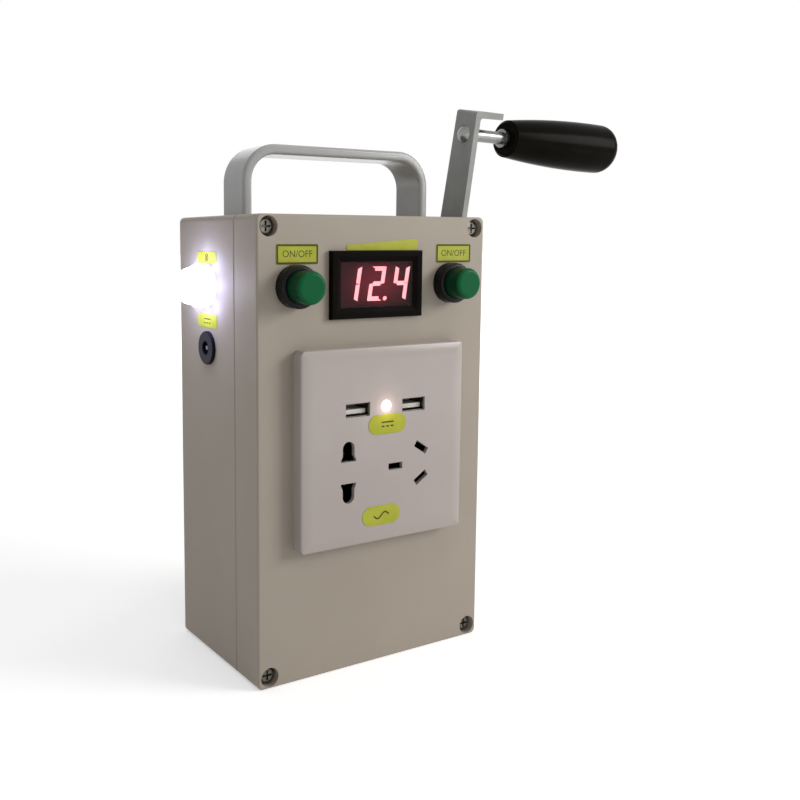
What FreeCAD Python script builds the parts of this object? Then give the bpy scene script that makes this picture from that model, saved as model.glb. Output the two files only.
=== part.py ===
# Hand crank generator in an upright box: crank and gear train on the right side,
# socket plate, voltmeter and two pushbuttons on the front, lamp and charging jack on the left.
# Millimetres. X runs across the box, Y from front to back, Z up.
# The origin is the centre of the box's bottom face.
import FreeCAD, Part
import math
import os

# Enclosure
box_width = 120.0
box_depth = 75.0
box_height = 200.0
wall = 2.6
face_wall = 3.0
lid_depth = 20.0
corner_radius = 2.5
rim_radius = 0.9
tongue_height = 2.5
tongue_thickness = 1.2
tongue_clearance = 0.2
gasket_height = 0.8
seam_chamfer = 0.5
screw_inset_x = 5.5
screw_inset_z = 5.0
lid_boss_radius = 5.2
base_boss_radius = 4.5
boss_end_wall = 1.5
recess_radius = 4.25
recess_depth = 5.0

# Fits: how far a cutting shape runs past the face it opens, and the clearances
cut_over = 1.0
thread_clearance = 0.01
hole_clearance = 0.1
running_clearance = 0.05
end_play = 0.3
blind_end = 0.3

# Fasteners
lid_screw_radius = 1.75
lid_screw_length = 22.0
lid_screw_head_radius = 3.5
lid_screw_head_height = 2.6
small_screw_radius = 1.5
small_screw_length = 8.0
small_screw_head_radius = 2.75
small_screw_head_height = 2.0
recess_slot_width = 0.9
recess_slot_reach = 0.62
recess_slot_sink = 0.6
head_crown = 0.4

# Carry handle
handle_centre_x = -1.2
handle_width = 100.0
handle_height = 31.0
handle_depth = 20.0
handle_thickness = 4.5
handle_bend_radius = 16.5
handle_edge_radius = 1.6
handle_screw_spacing = 8.0
handle_screw_length = 12.0

# Socket plate
plate_size = 86.0
plate_rise = 1.0
plate_proud = 7.0
plate_skin = 2.0
plate_rim = 1.8
plate_edge_radius = 0.9
plate_crown_radius = 24.0
plate_crown_width = 5.5
plate_corner_radius = 2.5
frame_flange_thickness = 3.0
frame_flange_clearance = 0.2
socket_body_width = 52.0
socket_body_height = 58.0
socket_body_wall = 1.2
socket_skirt_depth = 13.5
socket_housing_depth = 12.0
socket_floor = 2.0
socket_clearance = 0.3
fixing_pitch = 60.3
fixing_screw_length = 8.5
fixing_head_sink = 1.8
fixing_boss_radius = 2.9
fixing_boss_length = 5.0

# Openings in the plate, measured from its centre
usb_width = 12.6
usb_height = 6.0
usb_offset_x = 14.9
usb_offset_z = 16.4
usb_shell_gap = 0.05
usb_shell_wall = 0.35
usb_shell_depth = 13.0
usb_shell_set_back = 1.0
usb_tongue_height = 1.9
usb_tongue_drop = 0.9
usb_tongue_set_back = 2.4
usb_tongue_side_gap = 1.0
usb_root_depth = 3.0
usb_board_thickness = 1.6
usb_board_side_gap = 0.2
usb_board_rib = 1.6
usb_board_height = 12.0
indicator_radius = 2.5
indicator_offset_z = 17.0
indicator_proud = 1.0
two_pin_offset_x = -19.6
two_pin_offset_z = -10.3
two_pin_spacing = 18.2
two_pin_round_radius = 3.0
two_pin_blade_width = 7.8
two_pin_blade_height = 2.6
two_pin_blade_step = 0.3
two_pin_rise = 5.8
three_pin_earth_x = 5.3
three_pin_live_x = 19.5
three_pin_offset_z = -10.3
three_pin_spacing = 13.8
three_pin_slot_length = 7.6
three_pin_slot_width = 3.0
three_pin_slant = 33.0
contact_leaf = 0.6
contact_base = 1.0
contact_width = 7.6
contact_tip_gap = 0.6
round_contact_gap = 4.7
blade_contact_gap = 1.5

# Voltmeter
meter_x = -1.5
meter_drop = 29.5
meter_width = 48.0
meter_height = 29.0
meter_proud = 2.6
meter_window_width = 38.0
meter_window_height = 19.6
meter_bevel = 2.2
meter_edge_radius = 0.7
meter_window_set_back = 1.1
meter_window_thickness = 1.5
meter_window_lap = 1.6
meter_case_width = 45.0
meter_case_height = 26.0
meter_case_wall = 1.4
meter_case_depth = 20.0
meter_case_clearance = 0.2
display_width = 37.6
display_height = 19.0
display_depth = 8.0
digit_height = 14.8
digit_width = 7.7
digit_stroke = 2.1
digit_slant = 9.5
digit_shift_x = 0.6
digit_shift_z = 0.2
digit_relief = 0.3
digit_pitch = 12.9
digit_gap = 0.25
meter_board_thickness = 1.6

# Pushbuttons
button_left_inset = 17.6
button_right_inset = 20.4
button_drop = 29.7
collar_radius = 9.0
collar_proud = 6.0
collar_edge_radius = 1.4
barrel_radius = 8.0
barrel_depth = 17.0
barrel_floor = 2.0
cap_radius = 6.9
cap_proud = 14.5
cap_seat_depth = 7.5
cap_skirt_depth = 4.0
cap_edge_radius = 1.8
cap_clearance = 0.1
stem_radius = 3.5
stem_length = 7.5
button_lug_spacing = 8.0
button_lug_width = 2.8
button_lug_thickness = 0.8
button_lug_length = 4.5
plunger_bore_radius = 5.2
spring_radius = 4.8
spring_wire = 0.9
spring_pressed_length = 4.6
button_nut_radius = 10.0
button_nut_height = 3.0

# Lamp and charging jack on the left wall
lamp_y = 8.2
lamp_drop = 30.5
lamp_radius = 9.6
lamp_ring_proud = 6.3
lamp_ring_edge = 0.5
lamp_floor = 1.2
lamp_rim = 1.3
lamp_board_thickness = 1.6
lamp_lens_clearance = 0.1
lamp_lens_lip = 1.2
lamp_lens_rise = 7.9
lamp_lens_pocket_depth = 2.4
lamp_lens_pocket_radius = 4.0
lamp_emitter_size = 5.0
lamp_emitter_height = 0.8
side_barrel_radius = 6.0
side_barrel_depth = 13.0
side_nut_radius = 9.0
side_nut_height = 3.0
lamp_wire_bore = 2.0
jack_y = 7.9
jack_drop = 58.2
jack_flange_radius = 7.5
jack_flange_proud = 1.5
jack_flange_edge = 0.6
jack_bore_radius = 3.1
jack_bore_depth = 10.0
jack_pin_radius = 1.0
jack_pin_set_back = 0.8
jack_pin_tail = 2.0

# Labels
label_thickness = 0.2
front_label_width = 20.2
front_label_height = 8.4
front_label_drop = 16.4
front_label_left_inset = 19.0
front_label_right_inset = 18.0
strip_label_x = 0.0
strip_label_width = 40.0
strip_label_height = 4.0
strip_label_gap = 0.3
plate_label_width = 20.0
plate_label_height = 8.6
plate_label_upper = (0.6, 9.0)
plate_label_lower = (-2.3, -31.3)
side_label_width = 19.0
side_label_upper_height = 5.0
side_label_lower_height = 6.0
side_label_upper_drop = 18.1
side_label_lower_drop = 46.2

# Crank
shaft_y = 1.9
shaft_drop = 56.0
crank_length = 98.0
crank_lean = 11.5
shaft_radius = 4.0
shaft_seat_radius = 3.5
shaft_end_radius = 3.0
shaft_flat = 2.7
shaft_end_length = 7.0
shaft_end_chamfer = 0.5
arm_gap = 4.0
arm_thickness = 3.0
arm_root_width = 18.0
arm_tip_width = 14.2
arm_beyond_spindle = 11.2
arm_flange_length = 17.0
arm_bend_radius = 1.5
crank_nut_radius = 5.6
crank_nut_height = 5.0
bush_flange_radius = 7.0
bush_flange_height = 1.5
bush_barrel_radius = 5.5
spindle_radius = 3.0
spindle_head_radius = 4.2
spindle_head_height = 2.4
spindle_collar_radius = 4.5
spindle_collar_length = 2.0
spindle_bore_end_gap = 1.0
grip_flange_gap = 9.0
grip_droop = 1.6
grip_bulge_place = 0.45
grip_length = 72.0
grip_small_radius = 9.0
grip_middle_radius = 11.6
grip_large_radius = 12.4
grip_end_radius = 7.0
grip_lip_radius = 1.2
grip_clearance = 0.06
grip_side_gap = 0.3
spindle_in_grip = 52.0

# Gear train
gear_module = 0.8
wheel_teeth = 56
pinion_teeth = 14
pressure_angle = 20.0
addendum = 0.95
dedendum = 1.2
backlash = 0.12
centre_clearance = 0.04
idler_angle = -81.6
rotor_angle = -72.3
wheel_thickness = 4.0
wheel_hub_radius = 7.0
wheel_hub_extra = 0.6
wheel_web = 2.0
wheel_rim = 3.0
plate_thickness = 2.0
outer_wheel_gap = 1.0
plane_gap = 1.8
inner_wheel_gap = 3.2
gearbox_margin = 4.6
spacer_radius = 3.5
spacer_front_y = -10.5
spacer_back_y = 28.5
spacer_fall = 71.5
spacer_climb = 26.5
journal_radius = 3.0
plate_bush_radius = 4.2
plate_bush_flange_radius = 5.2
plate_bush_flange = 0.8
pinion_overlap = 0.4
shaft_past_bush = 0.6

# Generator
generator_radius = 18.0
generator_length = 45.4
generator_wall = 1.5
generator_cap_thickness = 3.0
generator_boss_radius = 5.0
generator_boss_height = 1.6
generator_screw_circle = 12.5
generator_screw_length = 4.5
generator_cap_collar = 2.0
stator_gap = 0.1
stator_inner_radius = 10.5
stator_length = 26.0
stator_slots = 6
stator_slot_width = 3.2
stator_slot_depth = 3.4
stator_set_back = 8.0
coil_overhang = 3.0
coil_outer_step = 1.6
coil_inner_step = 1.2
rotor_shaft_radius = 2.0
rotor_magnet_radius = 9.9

# Cells, boards and leads
can_edge_radius = 0.8
cell_radius = 9.2
cell_length = 65.0
cell_count = 3
cell_pitch = 20.4
cell_tip_radius = 3.0
cell_tip_height = 1.0
cell_clearance = 0.15
holder_floor = 2.0
holder_wall = 2.0
board_wall_gap = 3.4
board_generator_gap = 3.0
board_drop = 40.0
board_height = 100.0
board_thickness = 1.6
board_stand_off = 5.0
board_boss_radius = 3.0
board_pin_radius = 1.5
board_pin_proud = 1.0
board_hole_inset = 4.0
transformer_margins = (4.0, 8.0)
transformer_depth = 24.0
transformer_height = 28.0
transformer_rise = 6.0
transformer_coil_margin = 5.0
transformer_coil_step = 3.0
heat_sink_margins = (2.0, 10.0)
heat_sink_depth = 18.0
heat_sink_height = 26.0
heat_sink_rise = 40.0
heat_sink_base = 3.0
heat_sink_fins = 6
heat_sink_fin_thickness = 1.4
capacitor_radius = 5.0
capacitor_height = 16.0
capacitor_drop = 23.0
capacitor_insets = (18.0, 6.0)
lead_radius = 0.9
lead_bend = 4.0
lead_arc_share = 0.45
generator_lead_y = 8.0
generator_lead_z = 9.0
generator_lead_reach = 7.0
cell_lead_rise = 4.0
cell_lead_reach = 10.0
cell_lead_board_rise = 2.5
jack_lead_y = 3.0
jack_lead_reach = 9.0
lamp_lead_y = 4.0
lamp_lead_reach = 13.0
lamp_lead_board_drop = 9.0
socket_lead_inset = 4.0
socket_lead_rise = 20.0
meter_lead_inset = 2.0
meter_lead_fall = 4.0
meter_lead_reach = 20.0
meter_lead_board_drop = 15.0

# Places worked out from the sizes above
front_y = -box_depth / 2
back_y = box_depth / 2
side_x = box_width / 2
plate_z = box_height / 2 + plate_rise
meter_z = box_height - meter_drop
button_left_x = -side_x + button_left_inset
button_right_x = side_x - button_right_inset
button_z = box_height - button_drop
lamp_z = box_height - lamp_drop
jack_z = box_height - jack_drop
front_label_z = box_height - front_label_drop
front_label_left_x = -side_x + front_label_left_inset
front_label_right_x = side_x - front_label_right_inset
side_label_upper_z = box_height - side_label_upper_drop
side_label_lower_z = box_height - side_label_lower_drop
shaft_z = box_height - shaft_drop
spacer_low_z = shaft_z - spacer_fall
spacer_high_z = shaft_z + spacer_climb
seam_y = front_y + lid_depth
lid_screw_end_y = front_y + recess_depth + lid_screw_length
lid_inner_y = front_y + face_wall
back_inner_y = back_y - face_wall
side_inner_x = side_x - wall
plate_front_y = front_y - plate_proud
plate_inner_y = plate_front_y + plate_skin
fixing_seat_y = front_y - frame_flange_thickness + fixing_head_sink
skirt_end_y = front_y + socket_skirt_depth
housing_end_y = skirt_end_y + socket_housing_depth
meter_front_y = front_y - meter_proud
arm_inner_x = side_x + arm_gap
arm_outer_x = arm_inner_x + arm_thickness
grip_start = arm_inner_x + arm_flange_length + grip_flange_gap
outer_plate_x = side_inner_x - plate_thickness
wheel_outer_x = outer_plate_x - outer_wheel_gap
wheel_inner_x = wheel_outer_x - wheel_thickness
second_outer_x = wheel_inner_x - plane_gap
second_inner_x = second_outer_x - wheel_thickness
inner_plate_x = second_inner_x - inner_wheel_gap - plate_thickness
lean = math.radians(crank_lean)
spindle_y = shaft_y - crank_length * math.sin(lean)
spindle_z = shaft_z + crank_length * math.cos(lean)
gear_distance = gear_module * (wheel_teeth + pinion_teeth) / 2 + centre_clearance
idler_y = shaft_y + gear_distance * math.cos(math.radians(idler_angle))
idler_z = shaft_z + gear_distance * math.sin(math.radians(idler_angle))
rotor_y = idler_y + gear_distance * math.cos(math.radians(rotor_angle))
rotor_z = idler_z + gear_distance * math.sin(math.radians(rotor_angle))
generator_back_x = inner_plate_x - generator_length - generator_cap_thickness
board_front_y = back_inner_y - board_stand_off - board_thickness
board_left_x = -side_inner_x + board_wall_gap
board_right_x = generator_back_x - board_generator_gap
board_high_z = box_height - board_drop
board_low_z = board_high_z - board_height
usb_z = plate_z + usb_offset_z
two_pin_z = plate_z + two_pin_offset_z
three_pin_z = plate_z + three_pin_offset_z
lid_screw_places = [
    (sign_x * (side_x - screw_inset_x), height)
    for sign_x in (-1, 1)
    for height in (screw_inset_z, box_height - screw_inset_z)
]
handle_leg_places = [
    handle_centre_x + sign * (handle_width - handle_thickness) / 2 for sign in (-1, 1)
]
spacer_places = [
    (y, z) for y in (spacer_front_y, spacer_back_y) for z in (spacer_low_z, spacer_high_z)
]
generator_screw_places = [
    (rotor_y + sign * generator_screw_circle, rotor_z) for sign in (-1, 1)
]


def vec(x, y, z):
    return FreeCAD.Vector(x, y, z)


def block(x0, x1, y0, y1, z0, z1):
    return Part.makeBox(x1 - x0, y1 - y0, z1 - z0, vec(x0, y0, z0))


def rod_x(x0, x1, y, z, radius):
    return Part.makeCylinder(radius, x1 - x0, vec(x0, y, z), vec(1, 0, 0))


def rod_y(y0, y1, x, z, radius):
    return Part.makeCylinder(radius, y1 - y0, vec(x, y0, z), vec(0, 1, 0))


def rod_z(z0, z1, x, y, radius):
    return Part.makeCylinder(radius, z1 - z0, vec(x, y, z0), vec(0, 0, 1))


def hole_x(x0, x1, y, z, radius):
    # Cutting rod that runs past both faces it opens.
    return rod_x(x0 - cut_over, x1 + cut_over, y, z, radius)


def hole_y(y0, y1, x, z, radius):
    return rod_y(y0 - cut_over, y1 + cut_over, x, z, radius)


def hole_z(z0, z1, x, y, radius):
    return rod_z(z0 - cut_over, z1 + cut_over, x, y, radius)


def fused(shapes):
    first = shapes[0]
    if len(shapes) == 1:
        return first
    return first.multiFuse(shapes[1:]).removeSplitter()


def fused_tools(shapes):
    return shapes[0].multiFuse(shapes[1:])


def group(shapes):
    return Part.makeCompound(shapes)


def polygon(points):
    return Part.Face(Part.makePolygon(points + [points[0]]))


def dome_z(radius, rise):
    # Cap of a ball, flat side down on XY.
    ball_radius = (radius ** 2 + rise ** 2) / (2 * rise)
    ball = Part.makeSphere(ball_radius, vec(0, 0, rise - ball_radius))
    return ball.common(Part.makeCylinder(radius, rise + cut_over))


def hexagon_y(y0, y1, x, z, radius):
    # Hexagonal prism along Y; radius is to its corners.
    points = [
        vec(x + radius * math.cos(math.radians(60 * k)), y0, z + radius * math.sin(math.radians(60 * k)))
        for k in range(6)
    ]
    return polygon(points).extrude(vec(0, y1 - y0, 0))


def hexagon_x(x0, x1, y, z, radius):
    # Hexagonal prism along X; radius is to its corners.
    points = [
        vec(x0, y + radius * math.cos(math.radians(60 * k)), z + radius * math.sin(math.radians(60 * k)))
        for k in range(6)
    ]
    return polygon(points).extrude(vec(x1 - x0, 0, 0))


def rounded_block_y(x0, x1, y0, y1, z0, z1, radius):
    # Block whose four edges along Y are round.
    solid = block(x0, x1, y0, y1, z0, z1)
    edges = [e for e in solid.Edges if abs(e.tangentAt(e.FirstParameter).y) > 0.99]
    return solid.makeFillet(radius, edges)


def edges_in_plane_y(solid, y):
    return [e for e in solid.Edges if all(abs(v.Y - y) < 1e-6 for v in e.Vertexes)]


def ring_y(half_width, low_z, high_z, thickness, y0, y1):
    # Rectangular ring whose inner opening has the given half width and heights.
    outer_half = half_width + thickness
    outer = block(-outer_half, outer_half, y0, y1, low_z - thickness, high_z + thickness)
    return outer.cut(block(-half_width, half_width, y0, y1, low_z, high_z))


def pan_screw(length, radius, head_radius, head_height):
    # Screw along +Z with the underside of its head at the origin and the head below it.
    head = Part.makeCylinder(head_radius, head_height, vec(0, 0, -head_height))
    crown = [e for e in head.Edges if all(abs(v.Z + head_height) < 1e-6 for v in e.Vertexes)]
    head = head.makeFillet(head_height * head_crown, crown)
    reach = head_radius * recess_slot_reach
    deep = head_height * recess_slot_sink
    half = recess_slot_width / 2
    cross = block(-reach, reach, -half, half, -head_height, -head_height + deep).fuse(
        block(-half, half, -reach, reach, -head_height, -head_height + deep)
    )
    return head.cut(cross).fuse(Part.makeCylinder(radius, length)).removeSplitter()


def small_screw(length):
    return pan_screw(length, small_screw_radius, small_screw_head_radius, small_screw_head_height)


def placed(shape, place, direction):
    # Turns a shape made along +Z to the direction and moves it to the place.
    moved = shape.copy()
    moved.Placement = FreeCAD.Placement(place, FreeCAD.Rotation(vec(0, 0, 1), direction))
    return moved


def base_shell():
    outer = rounded_block_y(-side_x, side_x, seam_y, back_y, 0, box_height, corner_radius)
    outer = outer.makeFillet(rim_radius, edges_in_plane_y(outer, back_y))
    outer = outer.makeChamfer(seam_chamfer, edges_in_plane_y(outer, seam_y))
    inner = block(-side_inner_x, side_inner_x, seam_y, back_inner_y, wall, box_height - wall)
    tongue = ring_y(
        side_inner_x, wall, box_height - wall, tongue_thickness, seam_y - tongue_height, seam_y + wall
    )
    bosses = [
        rod_y(seam_y, lid_screw_end_y + boss_end_wall, x, z, base_boss_radius) for x, z in lid_screw_places
    ]
    board_bosses = [
        rod_y(back_inner_y - board_stand_off, back_inner_y + wall / 2, x, z, board_boss_radius)
        for x, z in board_hole_places()
    ]
    pins = [
        rod_y(board_front_y - board_pin_proud, back_inner_y, x, z, board_pin_radius)
        for x, z in board_hole_places()
    ]
    keep = block(-side_x, side_x, seam_y, back_y, 0, box_height)
    bosses = [boss.common(keep) for boss in bosses]
    shell = outer.cut(inner).multiFuse([tongue] + bosses + board_bosses + pins).removeSplitter()
    holes = [
        rod_y(seam_y - cut_over, lid_screw_end_y + blind_end, x, z, lid_screw_radius + thread_clearance)
        for x, z in lid_screw_places
    ]
    for x in handle_leg_places:
        for sign in (-1, 1):
            y = sign * handle_screw_spacing / 2
            holes.append(hole_z(box_height - wall, box_height, x, y,
                               small_screw_radius + hole_clearance))
    holes.append(hole_x(-side_x, -side_inner_x, lamp_y, lamp_z, side_barrel_radius + hole_clearance))
    holes.append(hole_x(-side_x, -side_inner_x, jack_y, jack_z, side_barrel_radius + hole_clearance))
    holes.append(hole_x(side_inner_x, side_x, shaft_y, shaft_z, bush_barrel_radius + thread_clearance))
    for y, z in spacer_places:
        holes.append(hole_x(side_inner_x, side_x, y, z, small_screw_radius + hole_clearance))
    return shell.cut(fused_tools(holes))


def front_lid():
    outer = rounded_block_y(-side_x, side_x, front_y, seam_y, 0, box_height, corner_radius)
    outer = outer.makeFillet(rim_radius, edges_in_plane_y(outer, front_y))
    outer = outer.makeChamfer(seam_chamfer, edges_in_plane_y(outer, seam_y))
    inner = block(-side_inner_x, side_inner_x, lid_inner_y, seam_y, wall, box_height - wall)
    # The bosses stop inside the outer faces.
    keep = block(-side_x + cut_over, side_x - cut_over, lid_inner_y - cut_over, seam_y,
                 cut_over, box_height - cut_over)
    bosses = [
        rod_y(lid_inner_y - cut_over, seam_y, x, z, lid_boss_radius).common(keep) for x, z in lid_screw_places
    ]
    fixing_bosses = [
        rod_y(lid_inner_y - cut_over, lid_inner_y + fixing_boss_length, sign * fixing_pitch / 2, plate_z,
              fixing_boss_radius)
        for sign in (-1, 1)
    ]
    lid = outer.cut(inner).multiFuse(bosses + fixing_bosses).removeSplitter()
    rabbet = ring_y(
        side_inner_x - tongue_clearance,
        wall + tongue_clearance,
        box_height - wall - tongue_clearance,
        tongue_thickness + 2 * tongue_clearance,
        seam_y - tongue_height - gasket_height,
        seam_y,
    )
    cuts = [rabbet]
    for x, z in lid_screw_places:
        cuts.append(rod_y(front_y - cut_over, front_y + recess_depth, x, z, recess_radius))
        cuts.append(rod_y(front_y, seam_y + cut_over, x, z, lid_screw_radius + hole_clearance))
    half_w = socket_body_width / 2 + socket_clearance
    half_h = socket_body_height / 2 + socket_clearance
    cuts.append(block(-half_w, half_w, front_y - cut_over, lid_inner_y + cut_over,
                      plate_z - half_h, plate_z + half_h))
    for sign in (-1, 1):
        cuts.append(
            rod_y(front_y - cut_over, fixing_seat_y + fixing_screw_length + blind_end,
                  sign * fixing_pitch / 2, plate_z, lid_screw_radius + thread_clearance)
        )
    cuts.append(
        meter_block(meter_case_width + 2 * meter_case_clearance, meter_case_height + 2 * meter_case_clearance,
                    front_y - cut_over, lid_inner_y + cut_over)
    )
    for x in (button_left_x, button_right_x):
        cuts.append(hole_y(front_y, lid_inner_y, x, button_z, barrel_radius + hole_clearance))
    return lid.cut(fused_tools(cuts))


def lid_gasket():
    return ring_y(
        side_inner_x,
        wall,
        box_height - wall,
        tongue_thickness,
        seam_y - tongue_height - gasket_height,
        seam_y - tongue_height,
    ).cut(
        fused_tools([
            rod_y(seam_y - 2 * tongue_height, seam_y, x, z, lid_screw_radius + hole_clearance)
            for x, z in lid_screw_places
        ])
    )


def lid_screws():
    screw = pan_screw(lid_screw_length, lid_screw_radius, lid_screw_head_radius, lid_screw_head_height)
    return group([
        placed(screw, vec(x, front_y + recess_depth, z), vec(0, 1, 0)) for x, z in lid_screw_places
    ])


def carry_handle():
    # Flat bar bent to a D: the outer profile less the inner one, with round long edges.
    def arch(half_width, height, radius):
        left = handle_centre_x - half_width
        right = handle_centre_x + half_width
        top = box_height + height
        drop = radius * (1 - math.sqrt(0.5))
        y = -handle_depth / 2
        edges = [
            Part.makeLine(vec(right, y, box_height), vec(right, y, top - radius)),
            Part.Arc(vec(right, y, top - radius), vec(right - drop, y, top - drop),
                     vec(right - radius, y, top)).toShape(),
            Part.makeLine(vec(right - radius, y, top), vec(left + radius, y, top)),
            Part.Arc(vec(left + radius, y, top), vec(left + drop, y, top - drop),
                     vec(left, y, top - radius)).toShape(),
            Part.makeLine(vec(left, y, top - radius), vec(left, y, box_height)),
            Part.makeLine(vec(left, y, box_height), vec(right, y, box_height)),
        ]
        return Part.Face(Part.Wire(edges)).extrude(vec(0, handle_depth, 0))

    outer = arch(handle_width / 2, handle_height, handle_bend_radius)
    inner = arch(
        handle_width / 2 - handle_thickness,
        handle_height - handle_thickness,
        handle_bend_radius - handle_thickness,
    )
    bar = outer.cut(inner)
    long_edges = []
    for edge in bar.Edges:
        if all(abs(abs(v.Y) - handle_depth / 2) < 1e-6 for v in edge.Vertexes):
            flat = all(abs(v.Z - box_height) < 1e-6 for v in edge.Vertexes)
            crosses = abs(edge.Vertexes[0].Y - edge.Vertexes[-1].Y) > 1e-6
            if not flat and not crosses:
                long_edges.append(edge)
    bar = bar.makeFillet(handle_edge_radius, long_edges)
    holes = []
    for x in handle_leg_places:
        for sign in (-1, 1):
            y = sign * handle_screw_spacing / 2
            end = box_height - wall + handle_screw_length + blind_end
            holes.append(rod_z(box_height - cut_over, end, x, y, small_screw_radius + thread_clearance))
    return bar.cut(fused_tools(holes))


def handle_screws():
    screw = small_screw(handle_screw_length)
    return group([
        placed(screw, vec(x, sign * handle_screw_spacing / 2, box_height - wall), vec(0, 0, 1))
        for x in handle_leg_places
        for sign in (-1, 1)
    ])


def two_pin_hole(flip, y0, y1):
    # Hole for a round pin or a flat blade: round at the far end, wide and flat at the near end.
    sign = -1 if flip else 1
    x = two_pin_offset_x
    near = two_pin_z + sign * (two_pin_spacing / 2 - (two_pin_rise + two_pin_round_radius) / 2)
    far = near + sign * two_pin_rise
    half = two_pin_blade_width / 2
    step = near + sign * two_pin_blade_height
    points = [
        vec(x - half, y0, near),
        vec(x + half, y0, near),
        vec(x + half, y0, near + sign * two_pin_blade_height * two_pin_blade_step),
        vec(x + two_pin_round_radius, y0, step),
        vec(x + two_pin_round_radius, y0, far),
        vec(x - two_pin_round_radius, y0, far),
        vec(x - two_pin_round_radius, y0, step),
        vec(x - half, y0, near + sign * two_pin_blade_height * two_pin_blade_step),
    ]
    return polygon(points).extrude(vec(0, y1 - y0, 0)).fuse(rod_y(y0, y1, x, far, two_pin_round_radius))


def slot_y(x, z, length, width, angle, y0, y1):
    # Slot in the XZ plane, turned about Y; a positive angle lifts its right end.
    shape = block(x - length / 2, x + length / 2, y0, y1, z - width / 2, z + width / 2)
    shape.rotate(vec(x, 0, z), vec(0, 1, 0), -angle)
    return shape


def three_pin_slots(y0, y1):
    upper = three_pin_z + three_pin_spacing / 2
    lower = three_pin_z - three_pin_spacing / 2
    size = (three_pin_slot_length, three_pin_slot_width)
    return [
        slot_y(three_pin_earth_x, three_pin_z, size[0], size[1], 0, y0, y1),
        slot_y(three_pin_live_x, upper, size[0], size[1], -three_pin_slant, y0, y1),
        slot_y(three_pin_live_x, lower, size[0], size[1], three_pin_slant, y0, y1),
    ]


def usb_hole(sign, margin, y0, y1):
    x = sign * usb_offset_x
    half_w = usb_width / 2 - margin
    half_h = usb_height / 2 - margin
    return block(x - half_w, x + half_w, y0, y1, usb_z - half_h, usb_z + half_h)


def face_openings(y0, y1):
    return (
        [usb_hole(sign, 0, y0, y1) for sign in (-1, 1)]
        + [two_pin_hole(flip, y0, y1) for flip in (False, True)]
        + three_pin_slots(y0, y1)
    )


def crowned_profile(at):
    # Front of the plate in one direction: flat, then a wide shallow arc, then a small round rim.
    half = plate_size / 2
    turn = math.asin((plate_crown_width - plate_edge_radius) / (plate_crown_radius - plate_edge_radius))
    flat = half - plate_crown_width

    def crown(sign, angle):
        return at(sign * (flat + plate_crown_radius * math.sin(angle)),
                  plate_front_y + plate_crown_radius * (1 - math.cos(angle)))

    def rim(sign, angle):
        core = flat + (plate_crown_radius - plate_edge_radius) * math.sin(turn)
        depth = plate_crown_radius - (plate_crown_radius - plate_edge_radius) * math.cos(turn)
        return at(sign * (core + plate_edge_radius * math.sin(angle)),
                  plate_front_y + depth - plate_edge_radius * math.cos(angle))

    quarter = math.pi / 2
    middle = (turn + quarter) / 2
    edges = [
        Part.makeLine(at(-half, front_y), rim(-1, quarter)),
        Part.Arc(rim(-1, quarter), rim(-1, middle), crown(-1, turn)).toShape(),
        Part.Arc(crown(-1, turn), crown(-1, turn / 2), crown(-1, 0)).toShape(),
        Part.makeLine(crown(-1, 0), crown(1, 0)),
        Part.Arc(crown(1, 0), crown(1, turn / 2), crown(1, turn)).toShape(),
        Part.Arc(crown(1, turn), rim(1, middle), rim(1, quarter)).toShape(),
        Part.makeLine(rim(1, quarter), at(half, front_y)),
        Part.makeLine(at(half, front_y), at(-half, front_y)),
    ]
    return Part.Face(Part.Wire(edges))


def socket_cover():
    half = plate_size / 2
    low = plate_z - half
    high = plate_z + half
    body = rounded_block_y(-half, half, plate_front_y, front_y, low, high, plate_corner_radius)
    across = crowned_profile(lambda u, y: vec(u, y, low)).extrude(vec(0, 0, plate_size))
    upright = crowned_profile(lambda u, y: vec(-half, y, plate_z + u)).extrude(vec(plate_size, 0, 0))
    body = body.common(across).common(upright)
    room = half - plate_rim
    body = body.cut(block(-room, room, plate_inner_y, front_y, plate_z - room, plate_z + room))
    cuts = face_openings(plate_front_y - cut_over, plate_inner_y + cut_over)
    cuts.append(
        hole_y(plate_front_y, plate_inner_y, 0, plate_z + indicator_offset_z,
              indicator_radius + hole_clearance)
    )
    return body.cut(fused_tools(cuts))


def socket_frame():
    room = plate_size / 2 - plate_rim - frame_flange_clearance
    half_w = socket_body_width / 2
    half_h = socket_body_height / 2
    flange = block(-room, room, front_y - frame_flange_thickness, front_y, plate_z - room, plate_z + room)
    pad = block(-half_w, half_w, plate_inner_y, front_y, plate_z - half_h, plate_z + half_h)
    skirt = block(-half_w, half_w, front_y, skirt_end_y, plate_z - half_h, plate_z + half_h)
    inside_w = half_w - socket_body_wall
    inside_h = half_h - socket_body_wall
    hollow = block(-inside_w, inside_w, front_y, skirt_end_y, plate_z - inside_h, plate_z + inside_h)
    frame = fused([flange, pad, skirt.cut(hollow)])
    cuts = face_openings(plate_inner_y - cut_over, front_y + cut_over)
    cuts.append(
        hole_y(plate_inner_y, front_y, 0, plate_z + indicator_offset_z,
              indicator_radius + hole_clearance)
    )
    for sign in (-1, 1):
        cuts.append(
            hole_y(plate_inner_y, front_y, sign * fixing_pitch / 2, plate_z,
                  lid_screw_radius + hole_clearance)
        )
        cuts.append(
            rod_y(plate_inner_y, fixing_seat_y, sign * fixing_pitch / 2, plate_z,
                  lid_screw_head_radius + hole_clearance)
        )
    return frame.cut(fused_tools(cuts))


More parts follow.
